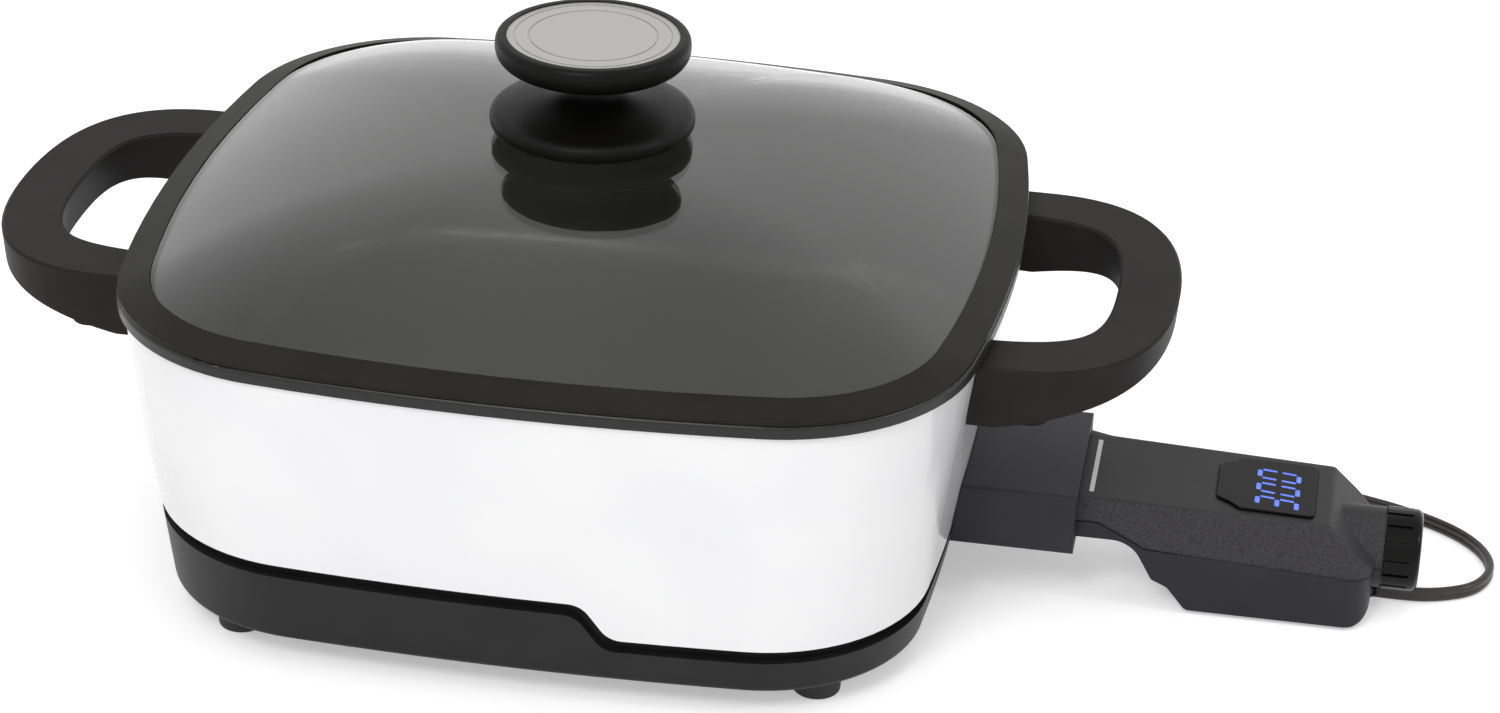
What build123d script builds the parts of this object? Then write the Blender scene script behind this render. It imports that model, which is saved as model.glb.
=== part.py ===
from build123d import *
import os
from math import atan, degrees, pi, radians, tan

os.makedirs("parts", exist_ok=True)

# Electric skillet: white cast pan on a black base, two loop handles, lift-off glass lid
# and a plug-in heat control.  Millimetres.  +Z is up, +X points to the heat control and
# -Y to the cook.  The origin is on the pan's upright axis, on the table the feet stand on.

# ---------------------------------------------------------------- driving dimensions
# plan outline at the pan's mouth, and how it changes down to the base's bottom edge
MOUTH_HALF_X = 150.0
MOUTH_HALF_Y = 144.0
MOUTH_SIDE_BOW = 15.6
MOUTH_FRONT_BOW = 12.2
MOUTH_CORNER = 69.5
BODY_TOP_INSET = 1.9
BODY_TAPER = 15.8
BASE_BOW = 7.1
BASE_CORNER = 56.3

# heights
FOOT_HEIGHT = 10.0
LIP_BOTTOM_Z = 113.5
LIP_THICKNESS = 4.5
FLOOR_UNDERSIDE_Z = 37.0
FLOOR_THICKNESS = 4.5

# pan
WALL = 3.2
LIP_INSET = 0.6
LIP_EDGE_RADIUS = 1.6
FLOOR_RADIUS = 10.0

# stepped seam between the white pan and the black base
SEAM_HIGH_Z = 40.4
SEAM_LOW_Z = 26.9
SEAM_GAP = 4.8
STEP_X = 29.0
STEP_RUN = 9.0
STEP_RADIUS = 8.0
REBATE = 3.4

# base
BASE_WALL = 2.8
UPSTAND_WALL = 2.4
UPSTAND_CLEARANCE = 0.4
PAD_THICKNESS = 3.0
PAD_SIZE = 44.0
PAD_CORNER = 6.0
PAD_INSET_X = 56.0
PAD_INSET_Y = 42.0
BASE_STEP_SHIFT = 2.0
BASE_EDGE_RADIUS = 2.0
FOOT_INSET_X = 51.0
FOOT_INSET_Y = 44.0
FOOT_RADIUS = 8.0
FOOT_TAPER = -4.0
FOOT_EDGE_RADIUS = 1.0
FOOT_STEM_RADIUS = 3.5
POST_INSET_X = 66.0
POST_INSET_Y = 36.0
POST_RADIUS = 6.0
SCREW_RADIUS = 2.0
SCREW_HEAD_RADIUS = 3.8
SCREW_HEAD_HEIGHT = 2.4
SCREW_BITE = 12.0
CLOSE_FIT = 0.05
CLEAR_FIT = 0.3

# heating element
ELEMENT_RADIUS = 3.5
ELEMENT_INSET = 62.0
ELEMENT_CORNER = 38.0
ELEMENT_LEAD_Y = 15.0
ELEMENT_LEAD_RADIUS = 12.0
RIDGE_WALL = 3.0
RIDGE_DEPTH = 5.0

# terminal block, pins and probe tunnel
TERMINAL_INSET = 3.0
BLOCK_DEPTH = 18.0
BLOCK_HALF_Y = 28.4
PIN_RADIUS = 2.4
PIN_LENGTH = 17.0
BUSH_RADIUS = 5.0
BUSH_LENGTH = 6.0
PROBE_RADIUS = 3.2
PROBE_REACH = 36.0
TUNNEL_HALF_Y = 7.5

# probe guard
GUARD_PLAY_Y = 3.6
GUARD_PLAY_Z = 0.8
GUARD_REACH = 27.0
GUARD_WALL = 3.0
GUARD_EDGE_RADIUS = 1.2
GUARD_SCREW_INSET = 8.5
GUARD_SCREW_Y = 22.0

# handles
ARM_OUTER_Y = 70.3
ARM_WIDTH = 21.0
LOOP_START = 4.0
LOOP_REACH = 55.0
LOOP_INNER_STEP = 23.0
GRIP_WIDTH = 21.3
LOOP_OUTER_SQUARE = 0.667
LOOP_INNER_SQUARE = 0.85
HANDLE_DROP = 2.3
ARM_THICKNESS = 22.6
GRIP_THICKNESS = 11.0
GRIP_SLOPE_LENGTH = 50.0
HANDLE_DRAFT = 1.7
HANDLE_EDGE = 0.9
TONGUE_REACH = 19.0
TONGUE_WIDTH = 11.0
TONGUE_HEIGHT = 7.0
HANDLE_SCREW_REACH = 11.0
BUMP_RADIUS = 6.5
BUMP_HEIGHT = 1.8

# lid
RIM_INSET = 0.9
RIM_WIDTH = 10.2
RIM_EDGE_HEIGHT = 1.2
RIM_RISE = 3.3
RIM_INNER_CORNER = 54.0
RIM_PLUG_DEPTH = 5.5
RIM_PLUG_WALL = 2.2
RIM_SEAT_CLEARANCE = 0.1
RIM_PLUG_INSET = 6.2
RIM_UNDER_GLASS = 0.8
GLASS_THICKNESS = 4.0
GLASS_GRIP = 3.6
GLASS_GROUND_EDGE = 0.6
GLASS_RISE = 29.8
GLASS_FULLNESS = 2.6
GLASS_SECTIONS = [1.0, 0.93, 0.8, 0.62, 0.4, 0.21]
GLASS_HOLE_RADIUS = 4.2

# knob
GASKET_RADIUS = 22.0
GASKET_THICKNESS = 1.0
COLLAR_FOOT_RADIUS = 24.0
COLLAR_RADIUS = 35.2
COLLAR_EDGE_Z = 1.4
COLLAR_EDGE_HEIGHT = 7.2
COLLAR_HEIGHT = 18.0
COLLAR_EDGE_ROUND = 3.2
NECK_RADIUS = 10.2
KNOB_STEM_RADIUS = 9.6
KNOB_STEM_HEIGHT = 6.4
KNOB_RADIUS = 33.4
KNOB_THICKNESS = 10.6
KNOB_UNDER_RADIUS = 24.0
KNOB_WIDEST_HEIGHT = 7.2
KNOB_TOP_ROUND = 3.2
INSERT_RADIUS = 29.4
INSERT_THICKNESS = 1.6
INSERT_SUNK = 0.5
INSERT_RINGS = [21.8, 26.8]
INSERT_GROOVE = 0.3
KNOB_SCREW_RADIUS = 2.5
KNOB_SCREW_HEAD_RADIUS = 5.0
KNOB_SCREW_BITE = 12.0
WASHER_RADIUS = 8.5
WASHER_THICKNESS = 1.2

# heat control
SNOUT_TIP_GAP = 3.0
SNOUT_HALF_HEIGHT = 7.5
SNOUT_TIP_CORNER = 2.6
CONTROL_LENGTH = 103.0
CONTROL_HALF_Y = 25.4
CONTROL_TOP_TIP_HALF_Y = 25.0
CONTROL_TOP_END_HALF_Y = 21.8
CONTROL_CORNER = 9.5
CONTROL_TOP_DROP = 2.3
CONTROL_TOP_ROUND = 3.0
CONTROL_SLOPE_RUN = 16.2
CONTROL_SLOPE_DROP = 16.1
CONTROL_BOTTOM_Z = 1.5
CONTROL_EDGE_RADIUS = 1.5
CONTROL_FOOT_ROUND = 7.0
# the belly's underside, as the distance before the control's end, the height and the round
BELLY_TOP = (83.5, 12.0)
BELLY_STEPS = [(75.7, 12.2, 2.0), (70.0, 9.7, 3.0)]
BELLY_FOOT = (63.2, 3.0)
HOUSING_WALL = 2.2
PART_LINE_FRONT_DROP = 9.0
PART_LINE_BACK_Z = 19.6
PART_LINE_DROP_START = 95.5
PART_LINE_DROP_END = 78.5
PART_LINE_MID_RISE = 4.0
PART_LINE_RADIUS = 8.0
NECK_REACH = 3.0
HOUSING_NECK_RADIUS = 14.2

# display and electronics
WINDOW_START = 48.0
WINDOW_LENGTH = 25.8
WINDOW_HALF_Y = 18.2
WINDOW_THICKNESS = 2.2
WINDOW_PROUD = 1.0
WINDOW_CORNER = 2.0
WINDOW_EDGE_RADIUS = 0.4
WINDOW_LEDGE = 1.5
TAB_LENGTH = 8.0
TAB_HALF_Y = 11.9
TAB_FLARE_LENGTH = 3.0
TAB_FLARE_HALF_Y = 15.2
DISPLAY_HALF_Y = 14.5
DISPLAY_LENGTH = 20.0
DISPLAY_THICKNESS = 5.0
BOARD_START = 67.0
BOARD_LENGTH = 45.0
BOARD_HALF_Y = 17.0
BOARD_THICKNESS = 1.6
BOARD_Z = 18.0
BOARD_POST_RADIUS = 3.0
BOARD_POST_INSET = 4.0
RELAY_INSET = 2.0
RELAY_LENGTH = 15.0
RELAY_HALF_Y = 8.0
RELAY_HEIGHT = 13.0
SOCKET_RADIUS = 4.4
SOCKET_WALL = 1.7
SOCKET_LENGTH = 17.0
CARRIER_START = 5.0
CARRIER_LENGTH = 14.0
ENCODER_SIZE = 13.0
ENCODER_LENGTH = 7.0
REAR_SCREW = (16.0, 11.0)
FRONT_SCREW = (94.0, 15.0)
HOUSING_SCREW_RADIUS = 1.5
HOUSING_SCREW_BITE = 7.0
HOUSING_SCREW_HEAD_RADIUS = 2.8
HOUSING_BOSS_RADIUS = 4.0

# dial
DIAL_Z = 20.8
DIAL_GAP = 0.3
DIAL_RADIUS = 14.5
DIAL_GRIP_LENGTH = 8.8
DIAL_RING_LENGTH = 3.6
DIAL_GROOVE_COUNT = 15
DIAL_GROOVE_WIDTH = 1.3
DIAL_GROOVE_DEPTH = 0.8
DIAL_EDGE_RADIUS = 2.4
SHAFT_RADIUS = 3.0
SHAFT_SEAT = 8.0

# cord, coil and plug
CORD_RADIUS = 2.6
RELIEF_LENGTH = 25.0
RELIEF_BIG_RADIUS = 3.6
RELIEF_TIP_RADIUS = 2.8
# the cord's route: first by the distance beyond the control's end, then by the place
CORD_NEAR = [
    (1, -0.5, 3.5),
    (11, -0.1, 2.9),
    (24, 1.8, 2.8),
    (38, 9.5, 2.8),
    (43.5, 26, 2.8),
    (35, 44, 2.8),
    (15, 57.5, 2.8),
]
CORD_FAR = [
    (263, 68, 2.8),
    (216, 80, 2.8),
    (173, 90, 2.8),
    (146, 105, 2.8),
    (126, 131, 2.8),
    (103, 152, 2.8),
    (78, 158.5, 2.8),
]
COIL_CENTRE = (70.0, 190.0)
COIL_MEAN_RADIUS = 29.0
COIL_BUNDLE = 5.4
PLUG_LENGTH = 25.0
PLUG_WIDTH = 24.0
PLUG_HEIGHT = 15.0
PLUG_NOSE_LENGTH = 12.0
PLUG_NOSE_RADIUS = 4.5
PLUG_NOSE_TAPER = 6.0
BLADE_LENGTH = 16.0
BLADE_WIDTH = 6.4
BLADE_THICKNESS = 1.5
BLADE_SPACING = 12.7
BLADE_SUNK = 3.0
PLUG_NOSE_START = (52.0, 161.0)
PLUG_EDGE_RADIUS = 3.0

# ---------------------------------------------------------------- worked-out sizes
LIP_TOP_Z = LIP_BOTTOM_Z + LIP_THICKNESS
INNER_FLOOR_Z = FLOOR_UNDERSIDE_Z + FLOOR_THICKNESS
BASE_HIGH_Z = SEAM_HIGH_Z - SEAM_GAP
BASE_LOW_Z = SEAM_LOW_Z - SEAM_GAP
PIN_Z = FLOOR_UNDERSIDE_Z - ELEMENT_RADIUS
PAD_X = MOUTH_HALF_X - PAD_INSET_X
PAD_Y = MOUTH_HALF_Y - PAD_INSET_Y
FOOT_X = MOUTH_HALF_X - FOOT_INSET_X
FOOT_Y = MOUTH_HALF_Y - FOOT_INSET_Y
POST_X = MOUTH_HALF_X - POST_INSET_X
POST_Y = MOUTH_HALF_Y - POST_INSET_Y
ELEMENT_HALF_X = MOUTH_HALF_X - ELEMENT_INSET
ELEMENT_HALF_Y = MOUTH_HALF_Y - ELEMENT_INSET
TERMINAL_FACE_X = MOUTH_HALF_X - TERMINAL_INSET
HANDLE_TOP_Z = LIP_BOTTOM_Z - HANDLE_DROP
ARM_INNER_Y = ARM_OUTER_Y - ARM_WIDTH
LOOP_OUTER_START = MOUTH_HALF_X + LOOP_START
LOOP_OUTER_REACH = MOUTH_HALF_X + LOOP_REACH
LOOP_INNER_START = LOOP_OUTER_START - LOOP_INNER_STEP
LOOP_INNER_REACH = LOOP_OUTER_REACH - GRIP_WIDTH
HANDLE_SCREW_X = MOUTH_HALF_X + HANDLE_SCREW_REACH
TONGUE_END_X = MOUTH_HALF_X + TONGUE_REACH
RIM_BOTTOM_Z = LIP_TOP_Z + RIM_SEAT_CLEARANCE
RIM_EDGE_Z = RIM_BOTTOM_Z + RIM_EDGE_HEIGHT
RIM_INNER_INSET = RIM_INSET + RIM_WIDTH
GLASS_EDGE_INSET = RIM_INNER_INSET - GLASS_GRIP
GLASS_EDGE_Z = RIM_EDGE_Z + RIM_RISE - 2.2
GLASS_CROWN_Z = GLASS_EDGE_Z + GLASS_RISE * (1 - GLASS_SECTIONS[-1] ** GLASS_FULLNESS)
COLLAR_Z = GLASS_CROWN_Z + GASKET_THICKNESS
KNOB_Z = COLLAR_Z + COLLAR_HEIGHT
KNOB_DISC_Z = KNOB_Z + KNOB_STEM_HEIGHT
KNOB_TOP_Z = KNOB_DISC_Z + KNOB_THICKNESS
KNOB_WIDEST_Z = KNOB_DISC_Z + KNOB_WIDEST_HEIGHT
SNOUT_TIP_X = TERMINAL_FACE_X + SNOUT_TIP_GAP
SNOUT_BOTTOM_Z = PIN_Z - SNOUT_HALF_HEIGHT
SNOUT_TOP_Z = PIN_Z + SNOUT_HALF_HEIGHT
GUARD_HALF_Y = CONTROL_HALF_Y + GUARD_PLAY_Y + GUARD_WALL
GUARD_BOTTOM_Z = SNOUT_BOTTOM_Z - GUARD_PLAY_Z - GUARD_WALL
GUARD_TOP_Z = SNOUT_TOP_Z + GUARD_PLAY_Z + GUARD_WALL
GUARD_END_X = MOUTH_HALF_X + GUARD_REACH
GUARD_SCREW_X = MOUTH_HALF_X - GUARD_SCREW_INSET
CONTROL_END_X = GUARD_END_X + CONTROL_LENGTH
CONTROL_BACK_X = CONTROL_END_X - CONTROL_SLOPE_RUN
CONTROL_BACK_TOP_Z = SNOUT_TOP_Z - CONTROL_TOP_DROP
NECK_END_X = CONTROL_END_X + NECK_REACH
WINDOW_START_X = CONTROL_END_X - WINDOW_START
BOARD_START_X = CONTROL_END_X - BOARD_START
CORD_ROUTE = [(CONTROL_END_X + x, y, z) for x, y, z in CORD_NEAR] + CORD_FAR
BIG = 500.0


def between(a, b, t):
    """The value a fraction t of the way from a to b."""
    return a + (b - a) * t


def bowed_outline(z, half_x, half_y, side_bow, front_bow, corner):
    """A level rounded rectangle whose four sides bow outwards, at height z."""
    x = half_x - side_bow
    y = half_y - front_bow
    with BuildSketch(Plane.XY.offset(z)) as outline:
        with BuildLine():
            ThreePointArc((x, -y), (half_x, 0), (x, y))
            ThreePointArc((x, y), (0, half_y), (-x, y))
            ThreePointArc((-x, y), (-half_x, 0), (-x, -y))
            ThreePointArc((-x, -y), (0, -half_y), (x, -y))
        make_face()
        fillet(outline.vertices(), corner)
    return outline.sketch


def body_outline(z, inward=0.0):
    """The pan and base's outer outline at height z, moved inwards by a wall or a gap."""
    t = (LIP_BOTTOM_Z - z) / (LIP_BOTTOM_Z - FOOT_HEIGHT)
    inset = BODY_TOP_INSET + BODY_TAPER * t + inward
    return bowed_outline(
        z,
        MOUTH_HALF_X - inset,
        MOUTH_HALF_Y - inset,
        between(MOUTH_SIDE_BOW, BASE_BOW, t),
        between(MOUTH_FRONT_BOW, BASE_BOW, t),
        between(MOUTH_CORNER, BASE_CORNER, t) - inward,
    )


def mouth_outline(z, inset, corner=None):
    """An outline parallel to the pan's mouth, as the lip, the lid's rim and the glass have."""
    radius = MOUTH_CORNER - inset if corner is None else corner
    return bowed_outline(
        z,
        MOUTH_HALF_X - inset,
        MOUTH_HALF_Y - inset,
        MOUTH_SIDE_BOW,
        MOUTH_FRONT_BOW,
        radius,
    )


def seam_region(high_z, low_z, shift):
    """Everything below the stepped seam, seen from the front and running front to back."""
    with BuildPart() as region:
        with BuildSketch(Plane.XZ):
            with BuildLine():
                FilletPolyline(
                    (-BIG, high_z),
                    (STEP_X - STEP_RUN / 2 + shift, high_z),
                    (STEP_X + STEP_RUN / 2 + shift, low_z),
                    (BIG, low_z),
                    radius=STEP_RADIUS,
                )
                Polyline((BIG, low_z), (BIG, -BIG), (-BIG, -BIG), (-BIG, high_z))
            make_face()
        extrude(amount=BIG, both=True)
    return region.part


def finish(piece, name):
    """Name a finished piece and write it to its own file."""
    piece.part.label = name
    export_step(piece.part, f"parts/{name}.step")


def element_path():
    """The heating element's centre line: in from one pin, round under the pan, and out."""
    start = TERMINAL_FACE_X - BUSH_LENGTH
    with BuildLine(Plane.XY.offset(PIN_Z)) as path:
        FilletPolyline(
            (start, -ELEMENT_LEAD_Y),
            (ELEMENT_HALF_X, -ELEMENT_LEAD_Y),
            (ELEMENT_HALF_X, -ELEMENT_HALF_Y),
            (-ELEMENT_HALF_X, -ELEMENT_HALF_Y),
            (-ELEMENT_HALF_X, ELEMENT_HALF_Y),
            (ELEMENT_HALF_X, ELEMENT_HALF_Y),
            (ELEMENT_HALF_X, ELEMENT_LEAD_Y),
            (start, ELEMENT_LEAD_Y),
            radius=[
                ELEMENT_LEAD_RADIUS,
                ELEMENT_CORNER,
                ELEMENT_CORNER,
                ELEMENT_CORNER,
                ELEMENT_CORNER,
                ELEMENT_LEAD_RADIUS,
            ],
        )
    return path.line


def element_band(z, half_width, depth):
    """A flat band of the given half width along the element, from height z down by depth."""
    with BuildPart() as band:
        with BuildSketch(Plane.XY.offset(z)):
            trace(element_path().moved(Location((0, 0, -PIN_Z))), line_width=2 * half_width)
        extrude(amount=-depth)
    return band.part


# ---------------------------------------------------------------- pan
# Cast in one piece: tapered wall, rolled lip, cooking floor, stepped seam, tongues for the
# handles, terminal block with its probe tunnel, and posts for the base's screws.
arm_y = (ARM_OUTER_Y + ARM_INNER_Y) / 2
tongue_z = HANDLE_TOP_Z - ARM_THICKNESS / 2
wall_root_x = MOUTH_HALF_X - MOUTH_SIDE_BOW - WALL
corner_signs = [(1, 1), (1, -1), (-1, 1), (-1, -1)]

with BuildPart() as hollow:
    loft(sections=[body_outline(INNER_FLOOR_Z, WALL), body_outline(LIP_TOP_Z, WALL)])
    fillet(hollow.edges().group_by(Axis.Z)[0], FLOOR_RADIUS)

with BuildPart() as seam_cut:
    add(seam_region(SEAM_HIGH_Z, SEAM_LOW_Z, 0))
    loft(
        sections=[body_outline(FLOOR_UNDERSIDE_Z, REBATE), body_outline(SEAM_HIGH_Z, REBATE)],
        mode=Mode.SUBTRACT,
    )

with BuildPart() as pan:
    loft(sections=[body_outline(SEAM_LOW_Z), body_outline(LIP_BOTTOM_Z)])
    # the space under the cooking floor, where the element and the base's upstand are
    loft(
        sections=[body_outline(SEAM_LOW_Z, WALL), body_outline(FLOOR_UNDERSIDE_Z, WALL)],
        mode=Mode.SUBTRACT,
    )
    add(seam_cut.part, mode=Mode.SUBTRACT)
    # lip
    add(mouth_outline(LIP_BOTTOM_Z, LIP_INSET))
    extrude(amount=LIP_THICKNESS)
    fillet(pan.edges().group_by(Axis.Z)[-1], LIP_EDGE_RADIUS)
    # tongues that carry the handles
    for turn in (0, 180):
        face_plane = Plane(origin=(0, 0, 0), x_dir=(0, 1, 0), z_dir=(1, 0, 0)).rotated((0, 0, turn))
        with BuildSketch(face_plane.offset(wall_root_x)):
            with Locations((arm_y, tongue_z), (-arm_y, tongue_z)):
                Rectangle(TONGUE_WIDTH, TONGUE_HEIGHT)
        extrude(amount=TONGUE_END_X - wall_root_x)
    # ridge that holds the element, and the block its pins leave by
    add(element_band(FLOOR_UNDERSIDE_Z, ELEMENT_RADIUS + CLEAR_FIT + RIDGE_WALL, RIDGE_DEPTH))
    block_bottom_z = GUARD_BOTTOM_Z + GUARD_WALL + CLEAR_FIT
    block_top_z = GUARD_TOP_Z - GUARD_WALL - CLEAR_FIT
    block_root_x = TERMINAL_FACE_X - BLOCK_DEPTH
    with BuildSketch(Plane.YZ.offset(block_root_x)):
        with Locations((0, (block_bottom_z + FLOOR_UNDERSIDE_Z) / 2)):
            Rectangle(2 * BLOCK_HALF_Y, FLOOR_UNDERSIDE_Z - block_bottom_z)
    extrude(amount=BLOCK_DEPTH)
    with BuildSketch(Plane.YZ.offset(wall_root_x)):
        with Locations((0, (block_bottom_z + block_top_z) / 2)):
            Rectangle(2 * BLOCK_HALF_Y, block_top_z - block_bottom_z)
    extrude(amount=TERMINAL_FACE_X - wall_root_x)
    # probe tunnel under the floor
    tunnel_start_x = TERMINAL_FACE_X - PROBE_REACH - 2 * PROBE_RADIUS
    tunnel_bottom_z = PIN_Z - PROBE_RADIUS - CLEAR_FIT - RIDGE_WALL
    with BuildSketch(Plane.YZ.offset(tunnel_start_x)):
        with Locations((0, (tunnel_bottom_z + FLOOR_UNDERSIDE_Z) / 2)):
            Rectangle(2 * TUNNEL_HALF_Y, FLOOR_UNDERSIDE_Z - tunnel_bottom_z)
    extrude(amount=block_root_x - tunnel_start_x)
    # posts that the base is screwed to
    post_bottom_z = FOOT_HEIGHT + PAD_THICKNESS
    with BuildSketch(Plane.XY.offset(post_bottom_z)):
        with Locations(*[(sx * POST_X, sy * POST_Y) for sx, sy in corner_signs]):
            Circle(POST_RADIUS)
    extrude(amount=FLOOR_UNDERSIDE_Z - post_bottom_z)
    # the cooking hollow, and every hole
    add(hollow.part, mode=Mode.SUBTRACT)
    add(
        element_band(PIN_Z + ELEMENT_RADIUS, ELEMENT_RADIUS + CLEAR_FIT, 2 * ELEMENT_RADIUS + BLOCK_HALF_Y),
        mode=Mode.SUBTRACT,
    )
    with BuildSketch(Plane.YZ.offset(TERMINAL_FACE_X)):
        with Locations((0, PIN_Z)):
            Circle(PROBE_RADIUS + CLEAR_FIT)
    extrude(amount=-PROBE_REACH, mode=Mode.SUBTRACT)
    with BuildSketch(Plane.YZ.offset(TERMINAL_FACE_X)):
        with Locations((ELEMENT_LEAD_Y, PIN_Z), (-ELEMENT_LEAD_Y, PIN_Z)):
            Circle(BUSH_RADIUS + CLOSE_FIT)
    extrude(amount=-BUSH_LENGTH, mode=Mode.SUBTRACT)
    with BuildSketch(Plane.XY.offset(post_bottom_z)):
        with Locations(*[(sx * POST_X, sy * POST_Y) for sx, sy in corner_signs]):
            Circle(SCREW_RADIUS + CLOSE_FIT)
    extrude(amount=SCREW_BITE + CLEAR_FIT, mode=Mode.SUBTRACT)
    with BuildSketch(Plane.XY.offset(block_bottom_z)):
        with Locations((GUARD_SCREW_X, GUARD_SCREW_Y), (GUARD_SCREW_X, -GUARD_SCREW_Y)):
            Circle(SCREW_RADIUS + CLOSE_FIT)
    extrude(amount=SCREW_BITE + CLEAR_FIT, mode=Mode.SUBTRACT)
    with BuildSketch(Plane.XY.offset(tongue_z - TONGUE_HEIGHT / 2)):
        with Locations(*[(sx * HANDLE_SCREW_X, sy * arm_y) for sx, sy in corner_signs]):
            Circle(SCREW_RADIUS + CLOSE_FIT)
    extrude(amount=TONGUE_HEIGHT, mode=Mode.SUBTRACT)
finish(pan, "pan")

# ---------------------------------------------------------------- heating element
# A sheathed loop under the cooking floor, with a terminal pin on each end in a ceramic bush.
with BuildPart() as heating_element:
    with BuildSketch(Plane(origin=element_path() @ 0, z_dir=element_path() % 0)):
        Circle(ELEMENT_RADIUS)
    sweep(path=element_path())
finish(heating_element, "heating_element")

with BuildPart() as terminal_pins:
    with BuildSketch(Plane.YZ.offset(TERMINAL_FACE_X - BUSH_LENGTH)):
        with Locations((ELEMENT_LEAD_Y, PIN_Z), (-ELEMENT_LEAD_Y, PIN_Z)):
            Circle(PIN_RADIUS)
    extrude(amount=BUSH_LENGTH + PIN_LENGTH)
    chamfer(terminal_pins.edges().group_by(Axis.X)[-1], PIN_RADIUS / 3)
finish(terminal_pins, "terminal_pins")

with BuildPart() as pin_bushes:
    with BuildSketch(Plane.YZ.offset(TERMINAL_FACE_X - BUSH_LENGTH)):
        with Locations((ELEMENT_LEAD_Y, PIN_Z), (-ELEMENT_LEAD_Y, PIN_Z)):
            Circle(BUSH_RADIUS)
            Circle(PIN_RADIUS + CLOSE_FIT, mode=Mode.SUBTRACT)
    extrude(amount=BUSH_LENGTH)
finish(pin_bushes, "pin_bushes")

# ---------------------------------------------------------------- base
# A moulded skirt that follows the pan's taper.  Its top steps like the pan's seam, and an
# upstand inside the pan's skirt closes the gap between them.
upstand_inset = WALL + UPSTAND_CLEARANCE
upstand_top_z = FLOOR_UNDERSIDE_Z - CLEAR_FIT


def skirt_form(inward):
    """A tapered block with the body's outline, from the base's bottom edge to above its step."""
    with BuildPart() as form:
        loft(sections=[body_outline(FOOT_HEIGHT, inward), body_outline(SEAM_HIGH_Z, inward)])
    return form


with BuildPart() as skirt_hollow:
    add(skirt_form(BASE_WALL).part)
    add(
        seam_region(BASE_HIGH_Z - UPSTAND_WALL, BASE_LOW_Z - UPSTAND_WALL, -BASE_STEP_SHIFT),
        mode=Mode.INTERSECT,
    )
    add(skirt_form(upstand_inset + UPSTAND_WALL).part)

with BuildPart() as corner_pads:
    loft(
        sections=[
            body_outline(FOOT_HEIGHT, BASE_WALL / 2),
            body_outline(post_bottom_z, BASE_WALL / 2),
        ]
    )
    with BuildSketch(Plane.XY.offset(FOOT_HEIGHT)):
        with Locations(*[(sx * PAD_X, sy * PAD_Y) for sx, sy in corner_signs]):
            RectangleRounded(PAD_SIZE, PAD_SIZE, PAD_CORNER)
    extrude(amount=PAD_THICKNESS, mode=Mode.INTERSECT)

with BuildPart() as base_skirt:
    add(skirt_form(0.0).part)
    fillet(base_skirt.edges().group_by(Axis.Z)[0], BASE_EDGE_RADIUS)
    add(seam_region(BASE_HIGH_Z, BASE_LOW_Z, -BASE_STEP_SHIFT), mode=Mode.INTERSECT)
    add(skirt_form(upstand_inset).part)
    split(bisect_by=Plane.XY.offset(upstand_top_z), keep=Keep.BOTTOM)
    add(skirt_hollow.part, mode=Mode.SUBTRACT)
    add(corner_pads.part)
    # room for the terminal block
    with BuildSketch(Plane.YZ.offset(wall_root_x - 2 * UPSTAND_WALL - WALL)):
        with Locations((0, (block_bottom_z + SEAM_HIGH_Z) / 2)):
            Rectangle(2 * (BLOCK_HALF_Y + CLEAR_FIT), SEAM_HIGH_Z - block_bottom_z + 2 * CLEAR_FIT)
    extrude(amount=BLOCK_DEPTH, mode=Mode.SUBTRACT)
    with BuildSketch(Plane.XY.offset(FOOT_HEIGHT)):
        with Locations(*[(sx * POST_X, sy * POST_Y) for sx, sy in corner_signs]):
            Circle(SCREW_RADIUS + CLEAR_FIT)
        with Locations(*[(sx * FOOT_X, sy * FOOT_Y) for sx, sy in corner_signs]):
            Circle(FOOT_STEM_RADIUS + CLOSE_FIT)
    extrude(amount=PAD_THICKNESS, mode=Mode.SUBTRACT)
finish(base_skirt, "base_skirt")

foot_names = ["front_left_foot", "front_right_foot", "rear_left_foot", "rear_right_foot"]
foot_signs = [(-1, -1), (1, -1), (-1, 1), (1, 1)]
for name, (sx, sy) in zip(foot_names, foot_signs):
    with BuildPart() as foot:
        with BuildSketch():
            with Locations((sx * FOOT_X, sy * FOOT_Y)):
                Circle(FOOT_RADIUS)
        extrude(amount=FOOT_HEIGHT, taper=FOOT_TAPER)
        fillet(foot.edges().group_by(Axis.Z)[0], FOOT_EDGE_RADIUS)
        with BuildSketch(Plane.XY.offset(FOOT_HEIGHT)):
            with Locations((sx * FOOT_X, sy * FOOT_Y)):
                Circle(FOOT_STEM_RADIUS)
        extrude(amount=PAD_THICKNESS)
    finish(foot, name)


def screws(places, z, length, head_radius=SCREW_HEAD_RADIUS, radius=SCREW_RADIUS):
    """Pan-head screws driven upwards, their heads' seats at height z, one solid at each place."""
    with BuildPart() as group:
        with BuildSketch(Plane.XY.offset(z - SCREW_HEAD_HEIGHT)):
            with Locations(*places):
                Circle(head_radius)
        extrude(amount=SCREW_HEAD_HEIGHT)
        fillet(group.edges().group_by(Axis.Z)[0], SCREW_HEAD_HEIGHT / 3)
        with BuildSketch(Plane.XY.offset(z)):
            with Locations(*places):
                Circle(radius)
        extrude(amount=length)
        # cross recess
        with BuildSketch(Plane.XY.offset(z - SCREW_HEAD_HEIGHT)):
            with Locations(*places):
                Rectangle(head_radius, head_radius / 4)
                Rectangle(head_radius / 4, head_radius)
        extrude(amount=SCREW_HEAD_HEIGHT / 2, mode=Mode.SUBTRACT)
    return group


base_screws = screws(
    [(sx * POST_X, sy * POST_Y) for sx, sy in corner_signs], FOOT_HEIGHT, PAD_THICKNESS + SCREW_BITE
)
finish(base_screws, "base_screws")

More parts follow.
